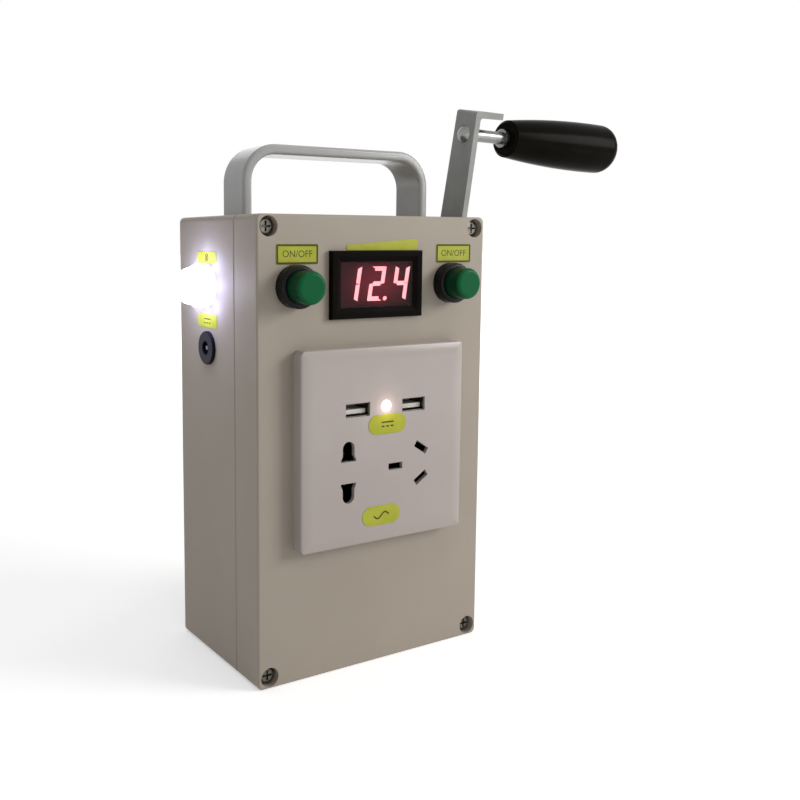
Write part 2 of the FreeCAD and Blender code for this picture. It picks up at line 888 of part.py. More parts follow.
def contact_places():
    # Centre, turn and gap between the leaves for each of the five contacts.
    upper = three_pin_z + three_pin_spacing / 2
    lower = three_pin_z - three_pin_spacing / 2
    shift = two_pin_spacing / 2
    return [
        (two_pin_offset_x, two_pin_z + shift, 0, round_contact_gap),
        (two_pin_offset_x, two_pin_z - shift, 0, round_contact_gap),
        (three_pin_earth_x, three_pin_z, 0, blade_contact_gap),
        (three_pin_live_x, upper, -three_pin_slant, blade_contact_gap),
        (three_pin_live_x, lower, three_pin_slant, blade_contact_gap),
    ]


def socket_housing():
    half_w = socket_body_width / 2
    half_h = socket_body_height / 2
    cup = block(-half_w, half_w, skirt_end_y, housing_end_y, plate_z - half_h, plate_z + half_h)
    inside_w = half_w - socket_body_wall
    inside_h = half_h - socket_body_wall
    floor_y = housing_end_y - socket_floor
    cup = cup.cut(block(-inside_w, inside_w, skirt_end_y, floor_y, plate_z - inside_h, plate_z + inside_h))
    rest_z = usb_z - usb_board_height / 2
    ribs = [
        block(start, start + usb_board_rib, usb_board_back_y(), floor_y, rest_z, rest_z + usb_board_height)
        for start in (-inside_w, inside_w - usb_board_rib)
    ]
    return fused([cup] + ribs)


def socket_contacts():
    floor_y = housing_end_y - socket_floor
    tip_y = front_y + contact_tip_gap
    clips = []
    for x, z, turn, gap in contact_places():
        half = contact_width / 2
        spread = gap / 2 + contact_leaf
        base = block(x - half, x + half, floor_y - contact_base, floor_y, z - spread, z + spread)
        leaves = [
            block(x - half, x + half, tip_y, floor_y, z + low, z + low + contact_leaf)
            for low in (-spread, spread - contact_leaf)
        ]
        clip = fused([base] + leaves)
        clip.rotate(vec(x, 0, z), vec(0, 1, 0), -turn)
        clips.append(clip)
    return group(clips)


def socket_screws():
    screw = pan_screw(fixing_screw_length, lid_screw_radius, lid_screw_head_radius, lid_screw_head_height)
    return group([
        placed(screw, vec(sign * fixing_pitch / 2, fixing_seat_y, plate_z), vec(0, 1, 0)) for sign in (-1, 1)
    ])


def usb_shell_back_y():
    return plate_front_y + usb_shell_set_back + usb_shell_depth


def usb_board_back_y():
    return usb_shell_back_y() + usb_board_thickness


def usb_shells():
    # Folded sheet shells, open at the front, closed by the board behind them.
    front = plate_front_y + usb_shell_set_back
    shells = []
    for sign in (-1, 1):
        back = usb_shell_back_y()
        outside = usb_hole(sign, usb_shell_gap, front, back)
        inside = usb_hole(sign, usb_shell_gap + usb_shell_wall, front - cut_over, back + cut_over)
        shells.append(outside.cut(inside))
    return group(shells)


def usb_tongues():
    front = plate_front_y + usb_tongue_set_back
    tongues = []
    for sign in (-1, 1):
        x = sign * usb_offset_x
        half = usb_width / 2 - usb_tongue_side_gap
        low = usb_z - usb_tongue_drop - usb_tongue_height / 2
        high = low + usb_tongue_height
        blade = block(x - half, x + half, front, usb_shell_back_y(), low, high)
        root = usb_hole(sign, usb_shell_gap + usb_shell_wall, usb_shell_back_y() - usb_root_depth,
                        usb_shell_back_y())
        tongues.append(fused([blade, root]))
    return group(tongues)


def usb_board():
    half = socket_body_width / 2 - socket_body_wall - usb_board_side_gap
    low = usb_z - usb_board_height / 2
    return block(-half, half, usb_shell_back_y(), usb_board_back_y(), low, low + usb_board_height)


def indicator_lens():
    # Domed light guide that shows in the plate and reaches back to the board.
    z = plate_z + indicator_offset_z
    stem = rod_y(plate_front_y, usb_shell_back_y(), 0, z, indicator_radius)
    dome = placed(dome_z(indicator_radius, indicator_proud), vec(0, plate_front_y, z), vec(0, -1, 0))
    return fused([stem, dome])


def meter_block(width, height, y0, y1):
    return block(meter_x - width / 2, meter_x + width / 2, y0, y1, meter_z - height / 2, meter_z + height / 2)


def meter_case():
    # Bezel with an inward bevel round the window, and the case behind it, open at the back.
    bezel = meter_block(meter_width, meter_height, meter_front_y, front_y)
    bezel = bezel.makeFillet(meter_edge_radius, edges_in_plane_y(bezel, meter_front_y))
    case = meter_block(meter_case_width, meter_case_height, front_y, front_y + meter_case_depth)
    body = fused([bezel, case])
    window_y = meter_front_y + meter_window_set_back
    inside_w = meter_case_width - 2 * meter_case_wall
    inside_h = meter_case_height - 2 * meter_case_wall
    hollow = meter_block(inside_w, inside_h, front_y, front_y + meter_case_depth + cut_over)
    seat_w = meter_window_width + 2 * meter_window_lap
    seat_h = meter_window_height + 2 * meter_window_lap
    seat = meter_block(seat_w, seat_h, window_y, front_y + cut_over)
    opening = meter_block(meter_window_width, meter_window_height, meter_front_y - cut_over, front_y)

    def mouth(grow, y):
        half_w = meter_window_width / 2 + grow
        half_h = meter_window_height / 2 + grow
        return Part.makePolygon([
            vec(meter_x - half_w, y, meter_z - half_h),
            vec(meter_x + half_w, y, meter_z - half_h),
            vec(meter_x + half_w, y, meter_z + half_h),
            vec(meter_x - half_w, y, meter_z + half_h),
            vec(meter_x - half_w, y, meter_z - half_h),
        ])

    bevel = Part.makeLoft([mouth(meter_bevel, meter_front_y), mouth(0, window_y)], True, True)
    return body.cut(fused_tools([hollow, seat, opening])).cut(bevel)


def meter_window():
    front = meter_front_y + meter_window_set_back
    width = meter_window_width + 2 * meter_window_lap - 2 * hole_clearance
    height = meter_window_height + 2 * meter_window_lap - 2 * hole_clearance
    return meter_block(width, height, front, front + meter_window_thickness)


def display_front_y():
    return meter_front_y + meter_window_set_back + meter_window_thickness + digit_relief


def meter_display():
    front = display_front_y()
    return meter_block(display_width, display_height, front, front + display_depth)


def segment(points, origin_x, y):
    # One lit bar of a digit: its outline in the digit's own plane, slanted to the right.
    slope = math.tan(math.radians(digit_slant))
    outline = [vec(origin_x + x + slope * z, y, meter_z + digit_shift_z + z) for x, z in points]
    return polygon(outline).extrude(vec(0, digit_relief, 0))


def digit_bars(letters, origin_x, y):
    # Bars a to g of a seven-bar digit centred on origin_x.
    half_w = digit_width / 2 - digit_stroke / 2
    half_h = digit_height / 2 - digit_stroke / 2
    half_s = digit_stroke / 2
    gap = digit_gap

    def flat_bar(z):
        return [(-half_w + gap, z), (-half_w + half_s + gap, z + half_s), (half_w - half_s - gap, z + half_s),
                (half_w - gap, z), (half_w - half_s - gap, z - half_s), (-half_w + half_s + gap, z - half_s)]

    def tall_bar(x, low, high):
        return [(x, low + gap), (x + half_s, low + half_s + gap), (x + half_s, high - half_s - gap),
                (x, high - gap), (x - half_s, high - half_s - gap), (x - half_s, low + half_s + gap)]

    bars = {
        "a": flat_bar(half_h),
        "g": flat_bar(0),
        "d": flat_bar(-half_h),
        "b": tall_bar(half_w, 0, half_h),
        "c": tall_bar(half_w, -half_h, 0),
        "f": tall_bar(-half_w, 0, half_h),
        "e": tall_bar(-half_w, -half_h, 0),
    }
    return [segment(bars[letter], origin_x, y) for letter in letters]


def meter_digits():
    # The reading 12.4 as lit bars standing on the display's face.
    y = display_front_y() - digit_relief
    bars = []
    middle_x = meter_x + digit_shift_x
    for place, letters in enumerate(("bc", "abged", "fgbc")):
        bars += digit_bars(letters, middle_x + (place - 1) * digit_pitch, y)
    dot_z = meter_z + digit_shift_z - digit_height / 2 + digit_stroke / 2
    dot_x = middle_x + digit_width / 2 + digit_stroke / 2
    bars.append(rod_y(y, y + digit_relief, dot_x, dot_z, digit_stroke / 2))
    return group(bars)


def meter_board():
    front = display_front_y() + display_depth
    width = meter_case_width - 2 * meter_case_wall - 2 * hole_clearance
    height = meter_case_height - 2 * meter_case_wall - 2 * hole_clearance
    return meter_block(width, height, front, front + meter_board_thickness)


def button_collar(x):
    collar = rod_y(front_y - collar_proud, front_y, x, button_z, collar_radius)
    collar = collar.makeFillet(collar_edge_radius, edges_in_plane_y(collar, front_y - collar_proud))
    barrel = rod_y(front_y, front_y + barrel_depth, x, button_z, barrel_radius)
    body = fused([collar, barrel])
    shoulder_y = front_y + cap_seat_depth
    wide = rod_y(front_y - collar_proud - 1, shoulder_y, x, button_z, cap_radius + cap_clearance)
    narrow = rod_y(shoulder_y - 1, front_y + barrel_depth - barrel_floor, x, button_z, plunger_bore_radius)
    lugs = [
        block(lug_x - button_lug_width / 2, lug_x + button_lug_width / 2, front_y + barrel_depth,
              front_y + barrel_depth + button_lug_length, button_z - button_lug_thickness / 2,
              button_z + button_lug_thickness / 2)
        for lug_x in (x - button_lug_spacing / 2, x + button_lug_spacing / 2)
    ]
    return fused([body.cut(wide.fuse(narrow))] + lugs)


def button_cap(x):
    head = rod_y(front_y - cap_proud, front_y + cap_skirt_depth, x, button_z, cap_radius)
    head = head.makeFillet(cap_edge_radius, edges_in_plane_y(head, front_y - cap_proud))
    stem = rod_y(front_y + cap_skirt_depth, front_y + cap_skirt_depth + stem_length, x, button_z, stem_radius)
    return fused([head, stem])


def button_nuts():
    nuts = []
    for x in (button_left_x, button_right_x):
        nut = hexagon_y(lid_inner_y, lid_inner_y + button_nut_height, x, button_z, button_nut_radius)
        nuts.append(nut.cut(hole_y(lid_inner_y, lid_inner_y + button_nut_height, x, button_z,
                                  barrel_radius + thread_clearance)))
    return group(nuts)


def button_springs():
    # Return springs at their pressed length, as plain sleeves on the barrels' floors.
    floor_y = front_y + barrel_depth - barrel_floor
    springs = []
    for x in (button_left_x, button_right_x):
        sleeve = rod_y(floor_y - spring_pressed_length, floor_y, x, button_z, spring_radius)
        springs.append(sleeve.cut(rod_y(floor_y - spring_pressed_length - 1, floor_y + cut_over, x, button_z,
                                        spring_radius - spring_wire)))
    return group(springs)


def lamp_body():
    ring_x = -side_x - lamp_ring_proud
    ring = rod_x(ring_x, -side_x, lamp_y, lamp_z, lamp_radius)
    front_edges = [e for e in ring.Edges if all(abs(v.X - ring_x) < 1e-6 for v in e.Vertexes)]
    ring = ring.makeFillet(lamp_ring_edge, front_edges)
    barrel = rod_x(-side_x, -side_x + side_barrel_depth, lamp_y, lamp_z, side_barrel_radius)
    pocket = rod_x(ring_x - cut_over, -side_x - lamp_floor, lamp_y, lamp_z, lamp_radius - lamp_rim)
    bore = rod_x(ring_x, -side_x + side_barrel_depth + cut_over, lamp_y, lamp_z, lamp_wire_bore)
    return fused([ring, barrel]).cut(pocket.fuse(bore))


def lamp_board():
    back = -side_x - lamp_floor
    front = back - lamp_board_thickness
    disc = rod_x(front, back, lamp_y, lamp_z, lamp_radius - lamp_rim - lamp_lens_clearance)
    half = lamp_emitter_size / 2
    chip = block(front - lamp_emitter_height, front, lamp_y - half, lamp_y + half,
                 lamp_z - half, lamp_z + half)
    return fused([disc, chip])


def lamp_lens():
    # Domed lens seated on the board inside the ring, hollow over the emitter.
    radius = lamp_radius - lamp_rim - lamp_lens_clearance
    back = -side_x - lamp_floor - lamp_board_thickness
    shoulder = -side_x - lamp_ring_proud - lamp_lens_lip
    drum = rod_x(shoulder, back, lamp_y, lamp_z, radius)
    dome = placed(dome_z(radius, lamp_lens_rise), vec(shoulder, lamp_y, lamp_z), vec(-1, 0, 0))
    pocket = rod_x(back - lamp_lens_pocket_depth, back + cut_over, lamp_y, lamp_z, lamp_lens_pocket_radius)
    return fused([drum, dome]).cut(pocket)


def side_nuts():
    nuts = []
    for y, z in ((lamp_y, lamp_z), (jack_y, jack_z)):
        nut = hexagon_x(-side_inner_x, -side_inner_x + side_nut_height, y, z, side_nut_radius)
        nuts.append(nut.cut(hole_x(-side_inner_x, -side_inner_x + side_nut_height, y, z,
                                  side_barrel_radius + thread_clearance)))
    return group(nuts)


def jack_body():
    face_x = -side_x - jack_flange_proud
    flange = rod_x(face_x, -side_x, jack_y, jack_z, jack_flange_radius)
    rim = [e for e in flange.Edges if all(abs(v.X - face_x) < 1e-6 for v in e.Vertexes)]
    flange = flange.makeFillet(jack_flange_edge, rim)
    barrel = rod_x(-side_x, -side_x + side_barrel_depth, jack_y, jack_z, side_barrel_radius)
    bore = rod_x(face_x - cut_over, face_x + jack_bore_depth, jack_y, jack_z, jack_bore_radius)
    pin_hole = rod_x(face_x, -side_x + side_barrel_depth + cut_over, jack_y, jack_z,
                     jack_pin_radius + thread_clearance)
    return fused([flange, barrel]).cut(bore.fuse(pin_hole))


def jack_pin():
    start = -side_x - jack_flange_proud + jack_pin_set_back
    return rod_x(start, -side_x + side_barrel_depth + jack_pin_tail, jack_y, jack_z, jack_pin_radius)


def labels():
    stickers = []
    half_w = front_label_width / 2
    half_h = front_label_height / 2
    for x in (front_label_left_x, front_label_right_x):
        stickers.append(block(x - half_w, x + half_w, front_y - label_thickness, front_y,
                              front_label_z - half_h, front_label_z + half_h))
    strip_low = meter_z + meter_height / 2 + strip_label_gap
    stickers.append(block(strip_label_x - strip_label_width / 2, strip_label_x + strip_label_width / 2,
                          front_y - label_thickness, front_y, strip_low, strip_low + strip_label_height))
    for x, dz in (plate_label_upper, plate_label_lower):
        stickers.append(block(x - plate_label_width / 2, x + plate_label_width / 2,
                              plate_front_y - label_thickness, plate_front_y,
                              plate_z + dz - plate_label_height / 2, plate_z + dz + plate_label_height / 2))
    side_places = ((side_label_upper_z, side_label_upper_height),
                   (side_label_lower_z, side_label_lower_height))
    for z, height in side_places:
        stickers.append(block(-side_x - label_thickness, -side_x, lamp_y - side_label_width / 2,
                              lamp_y + side_label_width / 2, z - height / 2, z + height / 2))
    return group(stickers)


def to_crank_plane(shape, x, y, z):
    # Turns a shape drawn in XY and extruded along Z so that it lies in YZ, extruded along X.
    moved = shape.copy()
    moved.Placement = FreeCAD.Placement(vec(x, y, z), FreeCAD.Rotation(vec(1, 1, 1), 120))
    return moved


def gear(teeth, thickness, phase):
    # Involute spur gear in XY with a tooth centred at the phase angle, in radians.
    pitch = gear_module * teeth / 2
    base = pitch * math.cos(math.radians(pressure_angle))
    tip = pitch + gear_module * addendum
    root = pitch - gear_module * dedendum
    half_tooth = math.pi / (2 * teeth) - backlash / (4 * pitch)
    slack = math.tan(math.radians(pressure_angle)) - math.radians(pressure_angle)

    def half_angle(radius):
        turn = math.acos(min(1.0, base / radius))
        return half_tooth + slack - (math.tan(turn) - turn)

    def point(radius, angle):
        return vec(radius * math.cos(angle), radius * math.sin(angle), 0)

    flank_start = max(base, root)
    middle = (flank_start + tip) / 2
    edges = []
    step = 2 * math.pi / teeth
    for k in range(teeth):
        centre = phase + k * step
        low, mid, high = half_angle(flank_start), half_angle(middle), half_angle(tip)
        if root < base:
            edges.append(Part.makeLine(point(root, centre - low), point(base, centre - low)))
        edges.append(Part.Arc(point(flank_start, centre - low), point(middle, centre - mid),
                              point(tip, centre - high)).toShape())
        edges.append(Part.Arc(point(tip, centre - high), point(tip, centre),
                              point(tip, centre + high)).toShape())
        edges.append(Part.Arc(point(tip, centre + high), point(middle, centre + mid),
                              point(flank_start, centre + low)).toShape())
        if root < base:
            edges.append(Part.makeLine(point(base, centre + low), point(root, centre + low)))
        edges.append(Part.Arc(point(root, centre + low), point(root, centre + step / 2),
                              point(root, centre + step - low)).toShape())
    return Part.Face(Part.Wire(edges)).extrude(vec(0, 0, thickness))


def wheel(phase, bore_radius):
    # Large gear with a thinner web between its hub and its toothed rim.
    body = gear(wheel_teeth, wheel_thickness, phase)
    rim_inner = gear_module * wheel_teeth / 2 - gear_module * dedendum - wheel_rim
    side = (wheel_thickness - wheel_web) / 2
    for low in (0, wheel_thickness - side):
        groove = Part.makeCylinder(rim_inner, side, vec(0, 0, low))
        body = body.cut(groove.cut(Part.makeCylinder(wheel_hub_radius, side, vec(0, 0, low))))
    hub_length = wheel_thickness + 2 * wheel_hub_extra
    hub = Part.makeCylinder(wheel_hub_radius, hub_length, vec(0, 0, -wheel_hub_extra))
    bore = Part.makeCylinder(bore_radius, hub_length, vec(0, 0, -wheel_hub_extra))
    return body.fuse(hub).removeSplitter().cut(bore)


def crank_wheel():
    shape = wheel(math.radians(idler_angle), shaft_radius + thread_clearance)
    return to_crank_plane(shape, wheel_inner_x, shaft_y, shaft_z)


def idler_pinion():
    phase = math.radians(idler_angle) + math.pi + math.pi / pinion_teeth
    start = wheel_inner_x - pinion_overlap
    teeth = gear(pinion_teeth, wheel_thickness + pinion_overlap, phase)
    teeth = to_crank_plane(teeth, start, idler_y, idler_z)
    shaft = rod_x(inner_plate_x - shaft_past_bush, side_inner_x - end_play, idler_y, idler_z, journal_radius)
    return fused([teeth, shaft])


def idler_wheel():
    shape = wheel(math.radians(rotor_angle), journal_radius + thread_clearance)
    return to_crank_plane(shape, second_inner_x, idler_y, idler_z)


def rotor_pinion():
    phase = math.radians(rotor_angle) + math.pi + math.pi / pinion_teeth
    length = wheel_thickness + 2 * pinion_overlap
    shape = gear(pinion_teeth, length, phase)
    shape = shape.cut(Part.makeCylinder(rotor_shaft_radius + thread_clearance, length))
    return to_crank_plane(shape, second_inner_x - pinion_overlap, rotor_y, rotor_z)


def shaft_flats(x0, x1, spread):
    # Two slabs above and below the shaft, across its lean, that cut its flats.
    slabs = []
    reach = 2 * shaft_radius
    for side in (-1, 1):
        low = spread if side > 0 else -spread - reach
        slab = block(x0, x1, shaft_y + low, shaft_y + low + reach, shaft_z - reach, shaft_z + reach)
        slab.rotate(vec(0, shaft_y, shaft_z), vec(1, 0, 0), crank_lean)
        slabs.append(slab)
    return fused_tools(slabs)


def crank_shaft():
    shoulder = inner_plate_x + plate_thickness + plate_bush_flange + end_play
    journal = rod_x(inner_plate_x - shaft_past_bush, shoulder, shaft_y, shaft_z, journal_radius)
    body = rod_x(shoulder, arm_inner_x, shaft_y, shaft_z, shaft_radius)
    seat = rod_x(arm_inner_x, arm_outer_x, shaft_y, shaft_z, shaft_seat_radius)
    seat = seat.cut(shaft_flats(arm_inner_x, arm_outer_x, shaft_flat))
    end = rod_x(arm_outer_x, arm_outer_x + shaft_end_length, shaft_y, shaft_z, shaft_end_radius)
    tip = [e for e in end.Edges if all(abs(v.X - arm_outer_x - shaft_end_length) < 1e-6 for v in e.Vertexes)]
    end = end.makeChamfer(shaft_end_chamfer, tip)
    return fused([journal, body, seat, end])


def along_arm(x, along, across):
    # Point in the arm's own directions: up the arm from the shaft, and across it to the back.
    y = shaft_y - along * math.sin(lean) + across * math.cos(lean)
    z = shaft_z + along * math.cos(lean) + across * math.sin(lean)
    return vec(x, y, z)


def drooped(shape):
    # The grip's pin leans down a little from the arm, and all that sits on it leans with it.
    shape.rotate(vec(arm_outer_x, spindle_y, spindle_z), vec(0, 1, 0), grip_droop)
    return shape


def crank_arm():
    # Strap with a round foot at the shaft, its upper end bent outwards as a short flange.
    top = crank_length + arm_beyond_spindle
    root = arm_root_width / 2
    tip = arm_tip_width / 2
    edges = [
        Part.makeLine(along_arm(arm_inner_x, 0, root), along_arm(arm_inner_x, top, tip)),
        Part.makeLine(along_arm(arm_inner_x, top, tip), along_arm(arm_inner_x, top, -tip)),
        Part.makeLine(along_arm(arm_inner_x, top, -tip), along_arm(arm_inner_x, 0, -root)),
        Part.Arc(along_arm(arm_inner_x, 0, -root), along_arm(arm_inner_x, -root, 0),
                 along_arm(arm_inner_x, 0, root)).toShape(),
    ]
    strap = Part.Face(Part.Wire(edges)).extrude(vec(arm_thickness, 0, 0))
    corners = [
        along_arm(arm_inner_x, top - arm_thickness, tip),
        along_arm(arm_inner_x, top, tip),
        along_arm(arm_inner_x, top, -tip),
        along_arm(arm_inner_x, top - arm_thickness, -tip),
    ]
    flange = polygon(corners).extrude(vec(arm_flange_length, 0, 0))
    arm = fused([strap, flange])
    bend = [e for e in arm.Edges if edge_is_bend(e, top)]
    arm = arm.makeFillet(arm_bend_radius, bend)
    seat = hole_x(arm_inner_x, arm_outer_x, shaft_y, shaft_z, shaft_seat_radius + thread_clearance)
    seat = seat.cut(shaft_flats(arm_inner_x - cut_over, arm_outer_x + cut_over,
                                shaft_flat + thread_clearance))
    rivet = drooped(hole_x(arm_inner_x, arm_outer_x, spindle_y, spindle_z,
                           spindle_radius + thread_clearance))
    return arm.cut(seat.fuse(rivet))


def edge_is_bend(edge, top):
    # The outside corner at the strap's inner face and top, and the inside corner under the flange.
    outside = along_arm(arm_inner_x, top, 0)
    inside = along_arm(arm_outer_x, top - arm_thickness, 0)
    middle = edge.CenterOfMass
    near = min((middle - outside).Length, (middle - inside).Length) < arm_thickness / 4
    return near and edge.Length > arm_tip_width / 2


def crank_nut():
    nut = hexagon_x(arm_outer_x, arm_outer_x + crank_nut_height, shaft_y, shaft_z, crank_nut_radius)
    return nut.cut(hole_x(arm_outer_x, arm_outer_x + crank_nut_height, shaft_y, shaft_z,
                         shaft_end_radius + thread_clearance))


def grip_spindle():
    # Riveted pin: domed head on the inner face of the arm, then a plain pin into the grip.
    head = placed(dome_z(spindle_head_radius, spindle_head_height), vec(arm_inner_x, spindle_y, spindle_z),
                  vec(-1, 0, 0))
    pin = rod_x(arm_inner_x, grip_start + spindle_in_grip, spindle_y, spindle_z, spindle_radius)
    collar_end = grip_start - grip_side_gap
    collar = rod_x(collar_end - spindle_collar_length, collar_end, spindle_y, spindle_z,
                   spindle_collar_radius)
    pin = drooped(fused([pin, collar]))
    return fused([head, pin])


def grip():
    # Turned body that swells from the crank side to the outer end, with a round nose.
    end = grip_start + grip_length
    nose = end - grip_end_radius
    bulge = grip_start + (nose - grip_start) * grip_bulge_place
    nose_core = grip_large_radius - grip_end_radius
    diagonal = grip_end_radius * math.sqrt(0.5)

    def at(x, radius):
        return vec(x, spindle_y, spindle_z + radius)

    edges = [
        Part.makeLine(at(grip_start, 0), at(grip_start, grip_small_radius - grip_lip_radius)),
        Part.makeLine(at(grip_start, grip_small_radius - grip_lip_radius),
                      at(grip_start + grip_lip_radius, grip_small_radius)),
        Part.Arc(at(grip_start + grip_lip_radius, grip_small_radius), at(bulge, grip_middle_radius),
                 at(nose, grip_large_radius)).toShape(),
        Part.Arc(at(nose, grip_large_radius), at(nose + diagonal, nose_core + diagonal),
                 at(end, nose_core)).toShape(),
        Part.makeLine(at(end, nose_core), at(end, 0)),
        Part.makeLine(at(end, 0), at(grip_start, 0)),
    ]
    body = Part.Face(Part.Wire(edges)).revolve(vec(0, spindle_y, spindle_z), vec(1, 0, 0), 360)
    depth = spindle_in_grip + spindle_bore_end_gap
    bore = rod_x(grip_start - cut_over, grip_start + depth, spindle_y, spindle_z,
                 spindle_radius + grip_clearance)
    return drooped(body.cut(bore))


def crank_bush():
    flange = rod_x(side_x, side_x + bush_flange_height, shaft_y, shaft_z, bush_flange_radius)
    barrel = rod_x(outer_plate_x, side_x, shaft_y, shaft_z, bush_barrel_radius)
    bore = hole_x(outer_plate_x, side_x + bush_flange_height, shaft_y, shaft_z,
                 shaft_radius + running_clearance)
    return fused([flange, barrel]).cut(bore)


def gear_plate(x):
    low_y = spacer_front_y - gearbox_margin
    high_y = spacer_back_y + gearbox_margin
    low_z = spacer_low_z - gearbox_margin
    high_z = spacer_high_z + gearbox_margin
    sheet = block(x, x + plate_thickness, low_y, high_y, low_z, high_z)
    edges = [e for e in sheet.Edges if abs(e.tangentAt(e.FirstParameter).x) > 0.99]
    return sheet.makeFillet(spacer_radius, edges)


def plate_hole(x, y, z, radius):
    return hole_x(x, x + plate_thickness, y, z, radius)


def gear_plate_outer():
    x = outer_plate_x
    holes = [plate_hole(x, y, z, small_screw_radius + hole_clearance) for y, z in spacer_places]
    holes.append(plate_hole(x, shaft_y, shaft_z, bush_barrel_radius + thread_clearance))
    holes.append(plate_hole(x, idler_y, idler_z, plate_bush_radius + thread_clearance))
    return gear_plate(x).cut(fused_tools(holes))


def gear_plate_inner():
    x = inner_plate_x
    holes = [plate_hole(x, y, z, small_screw_radius + hole_clearance)
             for y, z in spacer_places + generator_screw_places]
    for y, z in ((shaft_y, shaft_z), (idler_y, idler_z)):
        holes.append(plate_hole(x, y, z, plate_bush_radius + thread_clearance))
    holes.append(plate_hole(x, rotor_y, rotor_z, generator_boss_radius + thread_clearance))
    return gear_plate(x).cut(fused_tools(holes))


def gear_spacers():
    start = inner_plate_x + plate_thickness
    posts = []
    for y, z in spacer_places:
        post = rod_x(start, outer_plate_x, y, z, spacer_radius)
        hole = hole_x(start, outer_plate_x, y, z, small_screw_radius + thread_clearance)
        posts.append(post.cut(hole))
    return group(posts)


def gearbox_screws():
    screw = small_screw(small_screw_length)
    screws = []
    for y, z in spacer_places:
        screws.append(placed(screw, vec(side_x, y, z), vec(-1, 0, 0)))
        screws.append(placed(screw, vec(inner_plate_x, y, z), vec(1, 0, 0)))
    short_screw = small_screw(generator_screw_length)
    for y, z in generator_screw_places:
        screws.append(placed(short_screw, vec(inner_plate_x + plate_thickness, y, z), vec(-1, 0, 0)))
    return group(screws)


def plate_bushes():
    bushes = []
    inner_face = inner_plate_x + plate_thickness
    outer_flange_x = outer_plate_x - plate_bush_flange
    places = ((inner_plate_x, inner_face, shaft_y, shaft_z), (inner_plate_x, inner_face, idler_y, idler_z),
              (outer_plate_x, outer_flange_x, idler_y, idler_z))
    for barrel_x, flange_x, y, z in places:
        barrel = rod_x(barrel_x, barrel_x + plate_thickness, y, z, plate_bush_radius)
        flange = rod_x(flange_x, flange_x + plate_bush_flange, y, z, plate_bush_flange_radius)
        body = fused([barrel, flange])
        bore = hole_x(body.BoundBox.XMin, body.BoundBox.XMax, y, z,
                     journal_radius + running_clearance)
        bushes.append(body.cut(bore))
    return group(bushes)


def generator_can():
    front = inner_plate_x
    back = front - generator_length
    can = rod_x(back, front, rotor_y, rotor_z, generator_radius)
    edges = [e for e in can.Edges if all(abs(v.X - front) < 1e-6 for v in e.Vertexes)]
    can = can.makeFillet(can_edge_radius, edges)
    boss = rod_x(front, front + generator_boss_height, rotor_y, rotor_z, generator_boss_radius)
    inside = generator_radius - generator_wall
    hollow = rod_x(back - cut_over, front - generator_wall, rotor_y, rotor_z, inside)
    through = front - generator_wall - cut_over
    past = front + generator_boss_height + cut_over
    cuts = [hollow, rod_x(through, past, rotor_y, rotor_z, rotor_shaft_radius + running_clearance)]
    for y, z in generator_screw_places:
        cuts.append(rod_x(through, past, y, z, small_screw_radius + thread_clearance))
    return fused([can, boss]).cut(fused_tools(cuts))


def generator_cap():
    back = inner_plate_x - generator_length
    disc = rod_x(back - generator_cap_thickness, back, rotor_y, rotor_z, generator_radius)
    collar = rod_x(back, back + generator_cap_collar, rotor_y, rotor_z,
                   generator_radius - generator_wall - running_clearance)
    bore = hole_x(back - generator_cap_thickness, back + generator_cap_collar,
                 rotor_y, rotor_z, rotor_shaft_radius + running_clearance)
    return fused([disc, collar]).cut(bore)


def generator_stator():
    # Laminated ring with open slots, and a coil ring over each end of it.
    front = inner_plate_x - stator_set_back
    back = front - stator_length
    outer = generator_radius - generator_wall - stator_gap
    core = rod_x(back, front, rotor_y, rotor_z, outer)
    coil_outer = outer - coil_outer_step
    coil_inner = stator_inner_radius + coil_inner_step
    ends = [
        rod_x(front, front + coil_overhang, rotor_y, rotor_z, coil_outer),
        rod_x(back - coil_overhang, back, rotor_y, rotor_z, coil_outer),
    ]
    end_bore = hole_x(back - coil_overhang, front + coil_overhang, rotor_y, rotor_z,
                     stator_inner_radius)
    wide_bores = [
        rod_x(front, front + coil_overhang + cut_over, rotor_y, rotor_z, coil_inner),
        rod_x(back - coil_overhang - cut_over, back, rotor_y, rotor_z, coil_inner),
    ]
    slots = []
    for k in range(stator_slots):
        half = stator_slot_width / 2
        slot = block(back - cut_over, front + cut_over, rotor_y - half, rotor_y + half, rotor_z,
                     rotor_z + stator_inner_radius + stator_slot_depth)
        slot.rotate(vec(0, rotor_y, rotor_z), vec(1, 0, 0), 360.0 / stator_slots * k)
        slots.append(slot.common(rod_x(back, front, rotor_y, rotor_z, outer)))
    return fused([core] + ends).cut(fused_tools([end_bore] + wide_bores + slots))


def rotor_shaft():
    front = second_outer_x + pinion_overlap + shaft_past_bush
    return rod_x(generator_back_x + end_play, front, rotor_y, rotor_z, rotor_shaft_radius)


def rotor_magnet():
    front = inner_plate_x - stator_set_back
    magnet = rod_x(front - stator_length, front, rotor_y, rotor_z, rotor_magnet_radius)
    return magnet.cut(hole_x(front - stator_length, front, rotor_y, rotor_z,
                             rotor_shaft_radius + thread_clearance))


def cell_places():
    first = -(cell_count - 1) / 2 * cell_pitch
    return [first + k * cell_pitch for k in range(cell_count)]


def cell_z():
    return wall + holder_floor + cell_radius + cell_clearance


def battery_cells():
    half = cell_length / 2
    cells = []
    for index, y in enumerate(cell_places()):
        side = 1 if index % 2 else -1
        can = rod_x(-half, half, y, cell_z(), cell_radius)
        can = can.makeFillet(can_edge_radius, [e for e in can.Edges if len(e.Vertexes) == 1])
        tip = rod_x(half, half + cell_tip_height, y, cell_z(), cell_tip_radius) if side > 0 else rod_x(
            -half - cell_tip_height, -half, y, cell_z(), cell_tip_radius)
        cells.append(fused([can, tip]))
    return group(cells)


